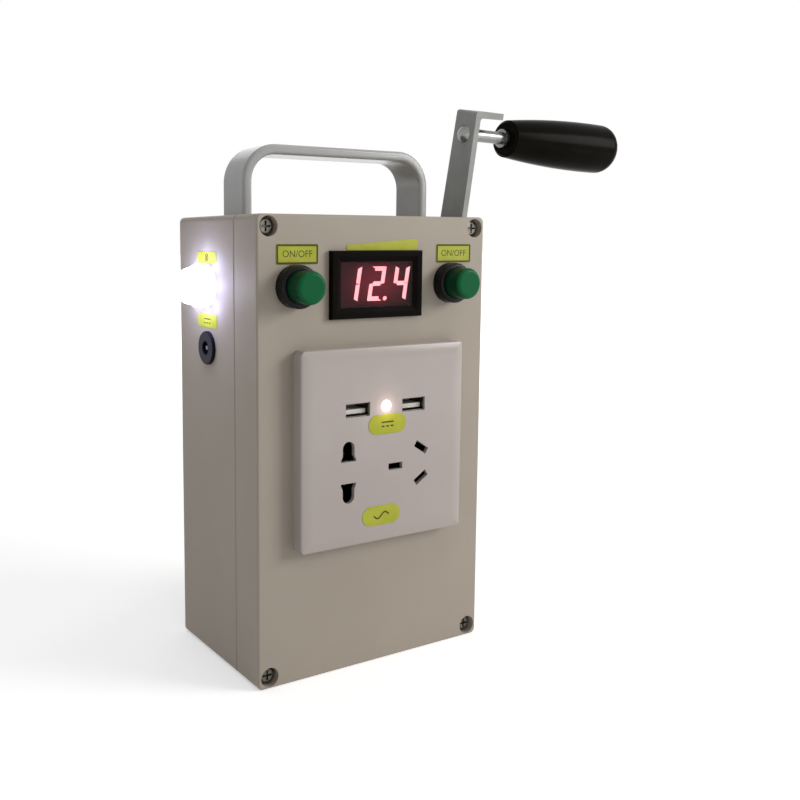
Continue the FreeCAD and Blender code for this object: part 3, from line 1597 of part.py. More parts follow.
def battery_holder():
    # Tray with a round cradle for each cell and an upright wall at each end.
    half = cell_length / 2 + cell_tip_height + cell_clearance
    half_y = (cell_count - 1) / 2 * cell_pitch + cell_radius + holder_wall
    tray = block(-half - holder_wall, half + holder_wall, -half_y, half_y, wall, cell_z())
    ends = [
        block(x0, x0 + holder_wall, -half_y, half_y, wall, cell_z() + cell_radius)
        for x0 in (-half - holder_wall, half)
    ]
    cradles = [rod_x(-half, half, y, cell_z(), cell_radius + cell_clearance) for y in cell_places()]
    return fused([tray] + ends).cut(fused_tools(cradles))


def board_hole_places():
    inset = board_hole_inset
    return [
        (x, z)
        for x in (board_left_x + inset, board_right_x - inset)
        for z in (board_low_z + inset, board_high_z - inset)
    ]


def main_board():
    board = block(board_left_x, board_right_x, board_front_y, board_front_y + board_thickness,
                  board_low_z, board_high_z)
    holes = [
        hole_y(board_front_y, board_front_y + board_thickness, x, z,
              board_pin_radius + thread_clearance)
        for x, z in board_hole_places()
    ]
    return board.cut(fused_tools(holes))


def transformer():
    # Laminated core with its coil standing proud on both sides.
    x0 = board_left_x + transformer_margins[0]
    x1 = board_right_x - transformer_margins[1]
    z0 = board_low_z + transformer_rise
    z1 = z0 + transformer_height
    front = board_front_y - transformer_depth
    margin = transformer_coil_margin
    step = transformer_coil_step
    core = block(x0, x1, front + step, board_front_y - step, z0, z1)
    coil = block(x0 + margin, x1 - margin, front, board_front_y, z0 + margin, z1 - margin)
    return fused([core, coil])


def heat_sink():
    x0 = board_left_x + heat_sink_margins[0]
    x1 = board_right_x - heat_sink_margins[1]
    z0 = board_low_z + heat_sink_rise
    z1 = z0 + heat_sink_height
    back = board_front_y
    parts = [block(x0, x1, back - heat_sink_base, back, z0, z1)]
    pitch = (x1 - x0 - heat_sink_fin_thickness) / (heat_sink_fins - 1)
    for k in range(heat_sink_fins):
        fin = x0 + k * pitch
        parts.append(block(fin, fin + heat_sink_fin_thickness, back - heat_sink_depth, back, z0, z1))
    return fused(parts)


def capacitors():
    cans = []
    front = board_front_y - capacitor_height
    z = board_high_z - capacitor_drop
    for inset in capacitor_insets:
        can = rod_y(front, board_front_y, board_right_x - inset, z, capacitor_radius)
        cans.append(can.makeFillet(can_edge_radius, edges_in_plane_y(can, front)))
    return group(cans)


def lead(points):
    # Insulated wire along straight runs joined by tangent arcs.
    stations = [vec(*p) for p in points]
    edges = []
    start = stations[0]
    for k in range(1, len(stations) - 1):
        corner = stations[k]
        before = (stations[k - 1] - corner).normalize()
        after = (stations[k + 1] - corner).normalize()
        turn = math.pi - before.getAngle(after)
        cut = min(lead_bend * math.tan(turn / 2),
                  (stations[k - 1] - corner).Length * lead_arc_share,
                  (stations[k + 1] - corner).Length * lead_arc_share)
        radius = cut / math.tan(turn / 2)
        arc_start = corner + before * cut
        arc_end = corner + after * cut
        toward = (before + after).normalize()
        middle = corner + toward * (radius / math.cos(turn / 2) - radius)
        edges.append(Part.makeLine(start, arc_start))
        edges.append(Part.Arc(arc_start, middle, arc_end).toShape())
        start = arc_end
    edges.append(Part.makeLine(start, stations[-1]))
    path = Part.Wire(edges)
    direction = (stations[1] - stations[0]).normalize()
    profile = Part.Wire([Part.makeCircle(lead_radius, stations[0], direction)])
    tube = path.makePipeShell([profile], True, False)
    expected = math.pi * lead_radius ** 2 * path.Length
    print("lead of", round(path.Length, 1), "mm, volume over section times length:",
          round(tube.Volume / expected, 4))
    return tube


def leads():
    board = board_front_y
    feed_x = generator_back_x - generator_lead_reach
    feed_y = rotor_y + generator_lead_y
    holder_end = -(cell_length / 2 + cell_tip_height + cell_clearance + holder_wall)
    cell_x = holder_end - cell_lead_reach
    far_cell = cell_places()[-1]
    high = cell_z() + cell_lead_rise
    low = board_low_z + cell_lead_board_rise
    barrel_end = -side_x + side_barrel_depth
    jack_x = barrel_end + jack_lead_reach
    jack_side_y = jack_y + jack_lead_y
    lamp_x = barrel_end + lamp_lead_reach
    lamp_side_y = lamp_y + lamp_lead_y
    lamp_board_z = board_high_z - lamp_lead_board_drop
    socket_x = board_right_x - socket_lead_inset
    socket_z = plate_z + socket_lead_rise
    meter_back = display_front_y() + display_depth + meter_board_thickness
    meter_lead_x = board_right_x - meter_lead_inset
    meter_side_y = meter_back + meter_lead_reach
    meter_lead_z = meter_z - meter_lead_fall
    meter_board_z = board_high_z - meter_lead_board_drop
    runs = [
        [(generator_back_x, feed_y, rotor_z + sign * generator_lead_z),
         (feed_x, feed_y, rotor_z + sign * generator_lead_z),
         (feed_x, board, rotor_z + sign * generator_lead_z)]
        for sign in (1, -1)
    ]
    runs += [
        [(holder_end, far_cell, high), (cell_x, far_cell, high), (cell_x, far_cell, low),
         (cell_x, board, low)],
        [(barrel_end, jack_side_y, jack_z), (jack_x, jack_side_y, jack_z), (jack_x, board, jack_z)],
        [(barrel_end, lamp_side_y, lamp_z), (lamp_x, lamp_side_y, lamp_z),
         (lamp_x, lamp_side_y, lamp_board_z), (lamp_x, board, lamp_board_z)],
        [(socket_x, housing_end_y, socket_z), (socket_x, board, socket_z)],
        [(meter_lead_x, meter_back, meter_lead_z), (meter_lead_x, meter_side_y, meter_lead_z),
         (meter_lead_x, meter_side_y, meter_board_z), (meter_lead_x, board, meter_board_z)],
    ]
    return group([lead(run) for run in runs])


sub_parts = {
    "base_shell": base_shell,
    "front_lid": front_lid,
    "lid_gasket": lid_gasket,
    "lid_screws": lid_screws,
    "carry_handle": carry_handle,
    "handle_screws": handle_screws,
    "socket_cover": socket_cover,
    "socket_frame": socket_frame,
    "socket_housing": socket_housing,
    "socket_contacts": socket_contacts,
    "socket_screws": socket_screws,
    "usb_shells": usb_shells,
    "usb_tongues": usb_tongues,
    "usb_board": usb_board,
    "indicator_lens": indicator_lens,
    "meter_case": meter_case,
    "meter_window": meter_window,
    "meter_display": meter_display,
    "meter_digits": meter_digits,
    "meter_board": meter_board,
    "button_left_collar": lambda: button_collar(button_left_x),
    "button_right_collar": lambda: button_collar(button_right_x),
    "button_left_cap": lambda: button_cap(button_left_x),
    "button_right_cap": lambda: button_cap(button_right_x),
    "button_nuts": button_nuts,
    "button_springs": button_springs,
    "lamp_body": lamp_body,
    "lamp_board": lamp_board,
    "lamp_lens": lamp_lens,
    "side_nuts": side_nuts,
    "jack_body": jack_body,
    "jack_pin": jack_pin,
    "labels": labels,
    "crank_shaft": crank_shaft,
    "crank_wheel": crank_wheel,
    "crank_arm": crank_arm,
    "crank_nut": crank_nut,
    "crank_bush": crank_bush,
    "grip_spindle": grip_spindle,
    "grip": grip,
    "idler_pinion": idler_pinion,
    "idler_wheel": idler_wheel,
    "gear_plate_outer": gear_plate_outer,
    "gear_plate_inner": gear_plate_inner,
    "gear_spacers": gear_spacers,
    "gearbox_screws": gearbox_screws,
    "plate_bushes": plate_bushes,
    "generator_can": generator_can,
    "generator_cap": generator_cap,
    "generator_stator": generator_stator,
    "rotor_shaft": rotor_shaft,
    "rotor_magnet": rotor_magnet,
    "rotor_pinion": rotor_pinion,
    "battery_cells": battery_cells,
    "battery_holder": battery_holder,
    "main_board": main_board,
    "transformer": transformer,
    "heat_sink": heat_sink,
    "capacitors": capacitors,
    "leads": leads,
}

os.makedirs("parts", exist_ok=True)
for name, make in sub_parts.items():
    shape = make()
    shape.exportStep("parts/" + name + ".step")
    print(name, len(shape.Solids), "solids", round(shape.Volume, 1), "mm3", shape.isValid())
print("crank shaft at y, z:", round(shaft_y, 3), round(shaft_z, 3))
print("spindle at y, z:", round(spindle_y, 4), round(spindle_z, 4), "leaning down", grip_droop)
print("idler at y, z:", round(idler_y, 4), round(idler_z, 4))
print("rotor at y, z:", round(rotor_y, 4), round(rotor_z, 4))
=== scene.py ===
import math

import bmesh
import bpy
import numpy as np
from mathutils import Matrix, Vector


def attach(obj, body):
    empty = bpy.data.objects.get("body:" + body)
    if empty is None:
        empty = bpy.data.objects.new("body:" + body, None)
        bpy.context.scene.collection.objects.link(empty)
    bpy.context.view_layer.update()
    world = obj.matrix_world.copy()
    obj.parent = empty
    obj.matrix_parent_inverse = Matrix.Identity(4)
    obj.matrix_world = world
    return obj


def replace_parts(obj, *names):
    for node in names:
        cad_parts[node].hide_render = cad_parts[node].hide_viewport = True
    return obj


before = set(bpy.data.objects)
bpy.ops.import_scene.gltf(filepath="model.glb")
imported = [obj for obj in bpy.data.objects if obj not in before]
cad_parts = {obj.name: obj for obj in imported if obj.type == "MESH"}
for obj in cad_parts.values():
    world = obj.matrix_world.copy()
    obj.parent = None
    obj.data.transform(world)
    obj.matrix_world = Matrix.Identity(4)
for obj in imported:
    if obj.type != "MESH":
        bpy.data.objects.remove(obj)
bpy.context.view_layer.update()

mm = 0.001
scene = bpy.context.scene
print("frame loaded,", len(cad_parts), "nodes")


# helpers for meshes

def srgb(text):
    # "#RRGGBB" to linear red, green, blue, alpha: v/12.92 below 0.04045, else ((v+0.055)/1.055)^2.4
    values = [int(text[k:k + 2], 16) / 255 for k in (1, 3, 5)]
    linear = [v / 12.92 if v <= 0.04045 else ((v + 0.055) / 1.055) ** 2.4 for v in values]
    return (*linear, 1.0)


def meshPiece(name, points, faces, body="housing", material=None, smooth=True):
    # a mesh in metres from points in millimetres; its faces are turned outwards before it rides
    mesh = bpy.data.meshes.new(name)
    mesh.from_pydata((np.asarray(points, float) * mm).tolist(), [], [list(map(int, face)) for face in faces])
    work = bmesh.new()
    work.from_mesh(mesh)
    bmesh.ops.remove_doubles(work, verts=work.verts, dist=1e-7)
    bmesh.ops.recalc_face_normals(work, faces=work.faces)
    work.to_mesh(mesh)
    work.free()
    mesh.polygons.foreach_set("use_smooth", np.full(len(mesh.polygons), smooth))
    piece = bpy.data.objects.new(name, mesh)
    scene.collection.objects.link(piece)
    if material:
        mesh.materials.append(material)
    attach(piece, body)
    return piece


def ringFaces(rings, count):
    # quads between neighbouring closed rings, then a fan at each end to a pole point
    i, j = np.meshgrid(np.arange(rings - 1), np.arange(count), indexing="ij")
    k = (j + 1) % count
    quads = np.stack([i * count + j, i * count + k, (i + 1) * count + k, (i + 1) * count + j], -1)
    j = np.arange(count)
    k = (j + 1) % count
    first, last = rings * count, rings * count + 1
    low = np.stack([np.full(count, first), k, j], -1)
    top = (rings - 1) * count
    high = np.stack([np.full(count, last), top + j, top + k], -1)
    return quads.reshape(-1, 4).tolist() + low.tolist() + high.tolist()


def closedRings(rings):
    # rings is (m, n, 3); each end is closed by a fan to the mean of its ring
    m, n, _ = rings.shape
    poles = np.stack([rings[0].mean(0), rings[-1].mean(0)])
    return np.vstack([rings.reshape(-1, 3), poles]), ringFaces(m, n)


def roundedOutline(width, height, radius, perCorner=7):
    # four quarter circles at the corners of a rectangle, joined by its straight sides
    angle = np.linspace(0, np.pi / 2, perCorner)
    turns = np.arange(4)[:, None] * np.pi / 2 + angle
    cx = np.array([1, -1, -1, 1])[:, None] * (width / 2 - radius)
    cz = np.array([1, 1, -1, -1])[:, None] * (height / 2 - radius)
    x = cx + radius * np.cos(turns)
    z = cz + radius * np.sin(turns)
    return np.stack([x.ravel(), z.ravel()], -1)


def onFront(flat, centre, y):
    # local right, up, outward to the front face: x, -outward, z
    return np.stack([centre[0] + flat[..., 0], y - flat[..., 2], centre[1] + flat[..., 1]], -1)


def onLeft(flat, centre, x):
    # local right, up, outward to the left face: -outward along X, right runs towards the front
    return np.stack([x - flat[..., 2], centre[0] - flat[..., 0], centre[1] + flat[..., 1]], -1)


def plateRings(width, height, radius, thickness, edge, steps=4):
    # a thin plate: its outline at the bottom, the same at the top less a rounded edge
    outline = roundedOutline(width, height, radius)
    angle = np.linspace(0, np.pi / 2, steps)
    inset = edge * (1 - np.cos(angle))
    rise = thickness - edge + edge * np.sin(angle)
    inset = np.concatenate([[0.0], inset])
    rise = np.concatenate([[0.0], rise])
    scaleX = 1 - 2 * inset / width
    scaleZ = 1 - 2 * inset / height
    return np.stack([
        outline[None, :, 0] * scaleX[:, None],
        outline[None, :, 1] * scaleZ[:, None],
        np.repeat(rise[:, None], len(outline), 1),
    ], -1)


def borderRings(width, height, radius, stroke, base, relief):
    # a raised frame: the outline swept round a small rectangle of stroke by relief
    steps = [(0, 0), (0, relief), (stroke, relief), (stroke, 0)]
    rows = []
    for inset, rise in steps:
        outline = roundedOutline(width - 2 * inset, height - 2 * inset, max(radius - inset, 0.05))
        rows.append(np.column_stack([outline, np.full(len(outline), base + rise)]))
    rows = np.stack(rows)
    m, n, _ = rows.shape
    i, j = np.meshgrid(np.arange(m), np.arange(n), indexing="ij")
    p, q = (i + 1) % m, (j + 1) % n
    faces = np.stack([i * n + j, i * n + q, p * n + q, p * n + j], -1).reshape(-1, 4)
    return rows, faces


# helpers for materials

perMetre = 1000                     # millimetres in a metre; a pattern's scale is this over its size
noiseLow, noiseHigh = 0.3, 0.7      # nearly all values of a noise lie between these
lineStretch, lineDepth = 40, 0.03   # drawn lines: length over width, and depth in millimetres


def add(tree, kind, settings=None, links=None):
    # one node with its settings, by attribute or by input, and its links from (node, output)
    node = tree.nodes.new(kind)
    for key, value in (settings or {}).items():
        if isinstance(key, str) and hasattr(node, key) and key not in node.inputs:
            setattr(node, key, value)
        else:
            node.inputs[key].default_value = value
    for key, (source, output) in (links or {}).items():
        tree.links.new(source.outputs[output], node.inputs[key])
    return node


def startMaterial(name, settings):
    # a material with its shader's own constant values and the object's coordinates
    material = bpy.data.materials.new(name)
    material.use_nodes = True
    tree = material.node_tree
    tree.nodes.clear()
    shader = add(tree, "ShaderNodeBsdfPrincipled", settings)
    out = add(tree, "ShaderNodeOutputMaterial", links={"Surface": (shader, "BSDF")})
    place = add(tree, "ShaderNodeTexCoord")
    return material, tree, shader, out, place


def ramp(tree, source, output, stops):
    # colour ramp whose stops are (position, hex colour)
    node = add(tree, "ShaderNodeValToRGB", links={"Fac": (source, output)})
    while len(node.color_ramp.elements) < len(stops):
        node.color_ramp.elements.new(0.5)
    for element, (position, colour) in zip(node.color_ramp.elements, stops):
        element.position = position
        element.color = srgb(colour)
    return node


def surfaceFinish(name, look):
    # mottled colour, varied roughness and a fine grain, all from noises sized in millimetres
    settings = {"Metallic": look.get("metallic", 0.0), **look.get("shader", {})}
    material, tree, shader, out, place = startMaterial(name, settings)
    spot = (place, "Object")
    cloud = add(tree, "ShaderNodeTexNoise",
                {"Scale": perMetre / look["cloudMm"], "Detail": 3.0, "Roughness": 0.55}, {"Vector": spot})
    colour = ramp(tree, cloud, "Fac", [(noiseLow, look["dark"]), (noiseHigh, look["light"])])
    tree.links.new(colour.outputs["Color"], shader.inputs["Base Color"])
    grain = add(tree, "ShaderNodeTexNoise",
                {"Scale": perMetre / look["grainMm"], "Detail": 2.0, "Roughness": 0.6}, {"Vector": spot})
    low, high = look["rough"]
    rough = add(tree, "ShaderNodeMapRange",
                {"From Min": noiseLow, "From Max": noiseHigh, "To Min": low, "To Max": high},
                {"Value": (grain, "Fac")})
    tree.links.new(rough.outputs["Result"], shader.inputs["Roughness"])
    bump = add(tree, "ShaderNodeBump", {"Strength": look["bump"], "Distance": look["bumpMm"] * mm},
               {"Height": (grain, "Fac")})
    tree.links.new(bump.outputs["Normal"], shader.inputs["Normal"])
    return material, tree, shader, place, bump


def stretched(tree, place, scale):
    # object coordinates stretched by a scale in repeats per metre along each axis
    return add(tree, "ShaderNodeMapping", {"Scale": scale}, {"Vector": (place, "Object")})


def brushed(name, look):
    # metal with drawn lines: a noise stretched along the drawing direction, over the finish's own grain
    material, tree, shader, place, bump = surfaceFinish(name, look)
    across = perMetre / look["lineMm"]
    scale = [across] * 3
    scale["xyz".index(look["along"])] = across / lineStretch
    lines = add(tree, "ShaderNodeTexNoise", {"Scale": 1.0, "Detail": 2.0},
                {"Vector": (stretched(tree, place, scale), "Vector")})
    second = add(tree, "ShaderNodeBump", {"Strength": look["lineBump"], "Distance": lineDepth * mm},
                 {"Height": (lines, "Fac"), "Normal": (bump, "Normal")})
    tree.links.new(second.outputs["Normal"], shader.inputs["Normal"])
    return material


# finishes: what each one is and what its making gives the eye

finishes = {
    # ABS moulded in a spark-eroded tool: warm grey, even, a fine dull grain
    "warm_grey_abs": ("mouldedAbs", {
        "dark": "#A2988C", "light": "#A79D91", "cloudMm": 55, "grainMm": 1.0, "rough": (0.46, 0.60),
        "bump": 0.16, "bumpMm": 0.08, "shader": {"Specular IOR Level": 0.3}}),
    # foamed rubber cord pressed in the joint: dull black
    "gasket_rubber": ("foamRubber", {
        "dark": "#121213", "light": "#1B1B1C", "cloudMm": 6, "grainMm": 0.8, "rough": (0.8, 0.95),
        "bump": 0.4, "bumpMm": 0.12, "shader": {"Specular IOR Level": 0.15}}),
    # pan heads in steel, plated with zinc and gone dull: brownish grey, cloudy
    "zinc_screw": ("dulledZincPlate", {
        "dark": "#55534D", "light": "#7B7871", "cloudMm": 2.4, "grainMm": 0.6, "rough": (0.34, 0.52),
        "bump": 0.2, "bumpMm": 0.05, "metallic": 1.0}),
    # bent aluminium bar with a satin lacquer: neutral grey, bright along its rounded edges
    "handle_grey": ("lacqueredAluminium", {
        "dark": "#9F9F9E", "light": "#A7A7A6", "cloudMm": 40, "grainMm": 1.5, "rough": (0.18, 0.25),
        "bump": 0.01, "bumpMm": 0.05, "shader": {"Specular IOR Level": 0.5}}),
    # polycarbonate moulded against a polished tool: pale warm grey with a soft gloss
    "plate_cream_grey": ("polishedPolycarbonate", {
        "dark": "#ADA39F", "light": "#B3AAA5", "cloudMm": 60, "grainMm": 3.0, "rough": (0.16, 0.22),
        "bump": 0.02, "bumpMm": 0.05, "shader": {"Specular IOR Level": 0.35}}),
    # glass-filled nylon, black, half gloss
    "black_plastic": ("blackNylon", {
        "dark": "#0B0806", "light": "#100C0A", "cloudMm": 12, "grainMm": 0.9, "rough": (0.30, 0.42),
        "bump": 0.05, "bumpMm": 0.05, "shader": {"Specular IOR Level": 0.025}}),
    # natural nylon tongue, off-white
    "tongue_nylon": ("naturalTongueNylon", {
        "dark": "#C9C4BC", "light": "#D6D1C9", "cloudMm": 6, "grainMm": 0.9, "rough": (0.35, 0.5),
        "bump": 0.06, "bumpMm": 0.05}),
    # stamped brass leaf: yellow, rubbed brighter
    "contact_brass": ("stampedBrass", {
        "dark": "#5A4520", "light": "#7A6233", "cloudMm": 3, "grainMm": 0.7, "rough": (0.30, 0.46),
        "bump": 0.1, "bumpMm": 0.04, "metallic": 1.0}),
    # steel sheet with nickel plate: slightly yellow, its colour painted darker as shade where it lines a deep
    # hole
    "plated_sheet": ("nickelPlatedSheet", {
        "dark": "#5F5D58", "light": "#77746E", "cloudMm": 4, "grainMm": 0.8, "rough": (0.26, 0.40),
        "bump": 0.08, "bumpMm": 0.04, "metallic": 1.0}),
    # milky white ring moulded in polycarbonate, lit from inside
    "lamp_white": ("milkyPolycarbonate", {
        "dark": "#D9DAE0", "light": "#E4E5EA", "cloudMm": 8, "grainMm": 1.0, "rough": (0.24, 0.34),
        "bump": 0.05, "bumpMm": 0.04}),
    # moulded acetal, black with a low shine
    "button_black": ("blackAcetal", {
        "dark": "#0B0A0B", "light": "#121012", "cloudMm": 8, "grainMm": 0.9, "rough": (0.24, 0.36),
        "bump": 0.06, "bumpMm": 0.05, "shader": {"Specular IOR Level": 0.14}}),
    # nylon nut, milky
    "nut_nylon": ("naturalNylon", {
        "dark": "#C9C6BB", "light": "#D8D5CA", "cloudMm": 8, "grainMm": 1.0, "rough": (0.35, 0.5),
        "bump": 0.08, "bumpMm": 0.05}),
    # spring steel sleeve
    "spring_wire": ("springSteel", {
        "dark": "#7C7C7A", "light": "#9B9B98", "cloudMm": 2, "grainMm": 0.5, "rough": (0.25, 0.4),
        "bump": 0.1, "bumpMm": 0.04, "metallic": 1.0}),
    # dark blue nylon of the jack: dull, nearly black
    "jack_navy": ("navyNylon", {
        "dark": "#0D0D1A", "light": "#151629", "cloudMm": 5, "grainMm": 0.8, "rough": (0.32, 0.46),
        "bump": 0.12, "bumpMm": 0.06, "shader": {"Specular IOR Level": 0.08}}),
    # printed vinyl label: yellow-green, satin
    "label_film": ("vinylLabel", {
        "dark": "#A2A62A", "light": "#B1B43A", "cloudMm": 11, "grainMm": 1.0, "rough": (0.42, 0.54),
        "bump": 0.06, "bumpMm": 0.04, "shader": {"Specular IOR Level": 0.25}}),
    # turned and polished steel
    "shaft_steel": ("polishedSteel", {
        "dark": "#737372", "light": "#8E8E8C", "cloudMm": 5, "grainMm": 0.7, "rough": (0.22, 0.34),
        "bump": 0.05, "bumpMm": 0.04, "metallic": 1.0}),
    # phenolic grip with a smooth rubbed face: near black, slightly brown, one long soft highlight
    "grip_rubber": ("rubbedBlackGrip", {
        "dark": "#0D0B08", "light": "#15120E", "cloudMm": 22, "grainMm": 1.6, "rough": (0.20, 0.26),
        "bump": 0.012, "bumpMm": 0.04, "shader": {"Specular IOR Level": 0.015}}),
    # sintered bronze, oiled
    "bearing_bronze": ("sinteredBronze", {
        "dark": "#8A5F35", "light": "#A87B4A", "cloudMm": 3, "grainMm": 0.6, "rough": (0.38, 0.52),
        "bump": 0.2, "bumpMm": 0.05, "metallic": 1.0}),
    # hobbed brass gear
    "gear_brass": ("hobbedBrass", {
        "dark": "#B58F42", "light": "#D2AE5E", "cloudMm": 6, "grainMm": 0.9, "rough": (0.24, 0.38),
        "bump": 0.08, "bumpMm": 0.04, "metallic": 1.0}),
    # hobbed steel pinion
    "gear_steel": ("hobbedSteel", {
        "dark": "#7F7F7D", "light": "#A2A2A0", "cloudMm": 4, "grainMm": 0.7, "rough": (0.28, 0.42),
        "bump": 0.1, "bumpMm": 0.04, "metallic": 1.0}),
    # drawn steel can with a dull zinc plate
    "can_steel": ("drawnSteelCan", {
        "dark": "#93938F", "light": "#B0B0AB", "cloudMm": 12, "grainMm": 1.2, "rough": (0.34, 0.5),
        "bump": 0.1, "bumpMm": 0.05, "metallic": 1.0}),
    # sintered ferrite: dark grey, stony
    "magnet_ferrite": ("sinteredFerrite", {
        "dark": "#2B2B2D", "light": "#3A3A3C", "cloudMm": 4, "grainMm": 0.6, "rough": (0.5, 0.7),
        "bump": 0.3, "bumpMm": 0.06}),
    # shrink film round a cell: blue, glossy
    "cell_sleeve": ("shrinkFilm", {
        "dark": "#2A5C9A", "light": "#3068A8", "cloudMm": 20, "grainMm": 2.0, "rough": (0.18, 0.28),
        "bump": 0.06, "bumpMm": 0.05}),
    # black polypropylene tray
    "holder_black": ("blackPolypropylene", {
        "dark": "#17171A", "light": "#202023", "cloudMm": 14, "grainMm": 1.0, "rough": (0.4, 0.55),
        "bump": 0.14, "bumpMm": 0.06}),
    # printed capacitor sleeve: dark blue film
    "capacitor_sleeve": ("capacitorFilm", {
        "dark": "#1E2440", "light": "#272E50", "cloudMm": 6, "grainMm": 1.0, "rough": (0.25, 0.4),
        "bump": 0.06, "bumpMm": 0.05}),
    # extruded vinyl insulation, red
    "lead_sleeve": ("extrudedVinyl", {
        "dark": "#A8231E", "light": "#BB2C25", "cloudMm": 9, "grainMm": 0.9, "rough": (0.35, 0.48),
        "bump": 0.08, "bumpMm": 0.05}),
}
brushedFinishes = {
    # cold-rolled steel strip with a dull plate: mid grey, drawn lines along its length
    "strap_steel": ("rolledSteelStrip", {
        "dark": "#8B8C8A", "light": "#9B9C9A", "cloudMm": 14, "grainMm": 1.2, "rough": (0.50, 0.66),
        "bump": 0.10, "bumpMm": 0.05, "metallic": 0.15, "shader": {"Specular IOR Level": 0.3},
        "along": "z", "lineMm": 0.7, "lineBump": 0.25}),
    # aluminium sheet, brushed
    "plate_aluminium": ("brushedAluminium", {
        "dark": "#B4B5B6", "light": "#C8C9CA", "cloudMm": 18, "grainMm": 1.0, "rough": (0.3, 0.44),
        "bump": 0.06, "bumpMm": 0.04, "metallic": 1.0, "along": "z", "lineMm": 0.6, "lineBump": 0.3}),
    # stack of stamped sheets: 0.5 mm laminations drawn 1 mm apart so that they show
    "lamination": ("stackedLaminations", {
        "dark": "#4A4B4E", "light": "#67686B", "cloudMm": 8, "grainMm": 1.0, "rough": (0.4, 0.55),
        "bump": 0.1, "bumpMm": 0.05, "metallic": 1.0, "along": "y", "lineMm": 1.0, "lineBump": 0.6}),
}
materials = {slot: surfaceFinish(name, look)[0] for slot, (name, look) in finishes.items()}
materials |= {slot: brushed(name, look) for slot, (name, look) in brushedFinishes.items()}


# a row of the brick pattern is a quarter of its unit high
boardLook = {"mask": "#1C5A35", "track": "#2C7A4B", "trackMm": 3.2, "rowsPerUnit": 4, "trackShare": 0.12,
             "rough": 0.32, "ior": 1.5, "bump": 0.3, "bumpMm": 0.05}


def circuitBoard(look):
    # glass-fibre board under green solder mask: tracks a little proud and lighter
    material, tree, shader, out, place = startMaterial(
        "solderMaskedBoard", {"Roughness": look["rough"], "IOR": look["ior"]})
    mask = srgb(look["mask"])
    scale = [perMetre / look["trackMm"] / look["rowsPerUnit"]] * 3
    bricks = add(tree, "ShaderNodeTexBrick",
                 {"Scale": 1.0, "Mortar Size": look["trackShare"], "Color1": mask, "Color2": mask,
                  "Mortar": srgb(look["track"])},
                 {"Vector": (stretched(tree, place, scale), "Vector")})
    tree.links.new(bricks.outputs["Color"], shader.inputs["Base Color"])
    bump = add(tree, "ShaderNodeBump", {"Strength": look["bump"], "Distance": look["bumpMm"] * mm},
               {"Height": (bricks, "Fac")})
    tree.links.new(bump.outputs["Normal"], shader.inputs["Normal"])
    return material


materials["circuit_board"] = circuitBoard(boardLook)

# the cap's end lies in front of the first of the two depths and its side behind the second, in millimetres
# along Y; the side's darker green is painted shade
capLook = {"end": "#0D5B34", "side": "#073A22", "sideFrom": -51.7, "sideTo": -50.2, "rough": 0.32,
           "specular": 0.08, "cloudScale": 110.0, "uneven": 0.4, "grainScale": 900.0, "bump": 0.04,
           "bumpMm": 0.05}


def capWithPaintedShade(look):
    # green polycarbonate cap: its end keeps its own green, and its side is painted a darker green as shade,
    # blended across a slightly uneven line
    material, tree, shader, out, place = startMaterial(
        "greenPolycarbonate", {"Roughness": look["rough"], "Specular IOR Level": look["specular"]})
    spot = (place, "Object")
    uneven = look["uneven"] * mm
    parts = add(tree, "ShaderNodeSeparateXYZ", links={"Vector": spot})
    cloud = add(tree, "ShaderNodeTexNoise", {"Scale": look["cloudScale"], "Detail": 2.0}, {"Vector": spot})
    shift = add(tree, "ShaderNodeMath", {"operation": "MULTIPLY_ADD", 1: uneven, 2: -uneven / 2},
                {0: (cloud, "Fac")})
    depth = add(tree, "ShaderNodeMath", {"operation": "ADD"}, {0: (parts, "Y"), 1: (shift, "Value")})
    share = add(tree, "ShaderNodeMapRange",
                {"interpolation_type": "SMOOTHSTEP", "From Min": look["sideFrom"] * mm,
                 "From Max": look["sideTo"] * mm}, {"Value": (depth, "Value")})
    # own green at the end, painted shade down the side
    colour = ramp(tree, share, "Result", [(0.0, look["end"]), (1.0, look["side"])])
    tree.links.new(colour.outputs["Color"], shader.inputs["Base Color"])
    grain = add(tree, "ShaderNodeTexNoise", {"Scale": look["grainScale"], "Detail": 2.0}, {"Vector": spot})
    bump = add(tree, "ShaderNodeBump", {"Strength": look["bump"], "Distance": look["bumpMm"] * mm},
               {"Height": (grain, "Fac")})
    tree.links.new(bump.outputs["Normal"], shader.inputs["Normal"])
    return material


materials["button_green"] = capWithPaintedShade(capLook)

lightLooks = {
    # clear polycarbonate dome, frosted inside, lit: white core and a cold rim
    "lamp_clear": {"name": "frostedLitDome", "glow": "#EFEDFF", "strength": 12.0, "base": "#E6E8F2",
                   "rough": 0.2},
    # indicator: small diffused lens, lit a warm pinkish white
    "indicator_clear": {"name": "diffusedIndicator", "glow": "#FFE6DC", "strength": 3.0, "base": "#E8DAD4",
                        "rough": 0.25},
    # lit segments: pale bars that the red window in front turns pink
    "digit_red": {"name": "litSegments", "glow": "#FFEFF0", "strength": 2.45, "base": "#FF9AA4",
                  "rough": 0.4},
}
glowCloud = {"mm": 4, "from": 0.2, "to": 0.8, "low": 0.9, "high": 1.1}


def lit(look):
    # plastic that glows from within, a tenth more or less from place to place
    material, tree, shader, out, place = startMaterial(
        look["name"], {"Base Color": srgb(look["base"]), "Roughness": look["rough"]})
    shader.inputs["Emission Color"].default_value = srgb(look["glow"])
    cloud = add(tree, "ShaderNodeTexNoise", {"Scale": perMetre / glowCloud["mm"], "Detail": 1.0},
                {"Vector": (place, "Object")})
    low, high = look["strength"] * glowCloud["low"], look["strength"] * glowCloud["high"]
    level = add(tree, "ShaderNodeMapRange",
                {"From Min": glowCloud["from"], "From Max": glowCloud["to"], "To Min": low, "To Max": high},
                {"Value": (cloud, "Fac")})
    tree.links.new(level.outputs["Result"], shader.inputs["Emission Strength"])
    return material


materials |= {slot: lit(look) for slot, look in lightLooks.items()}

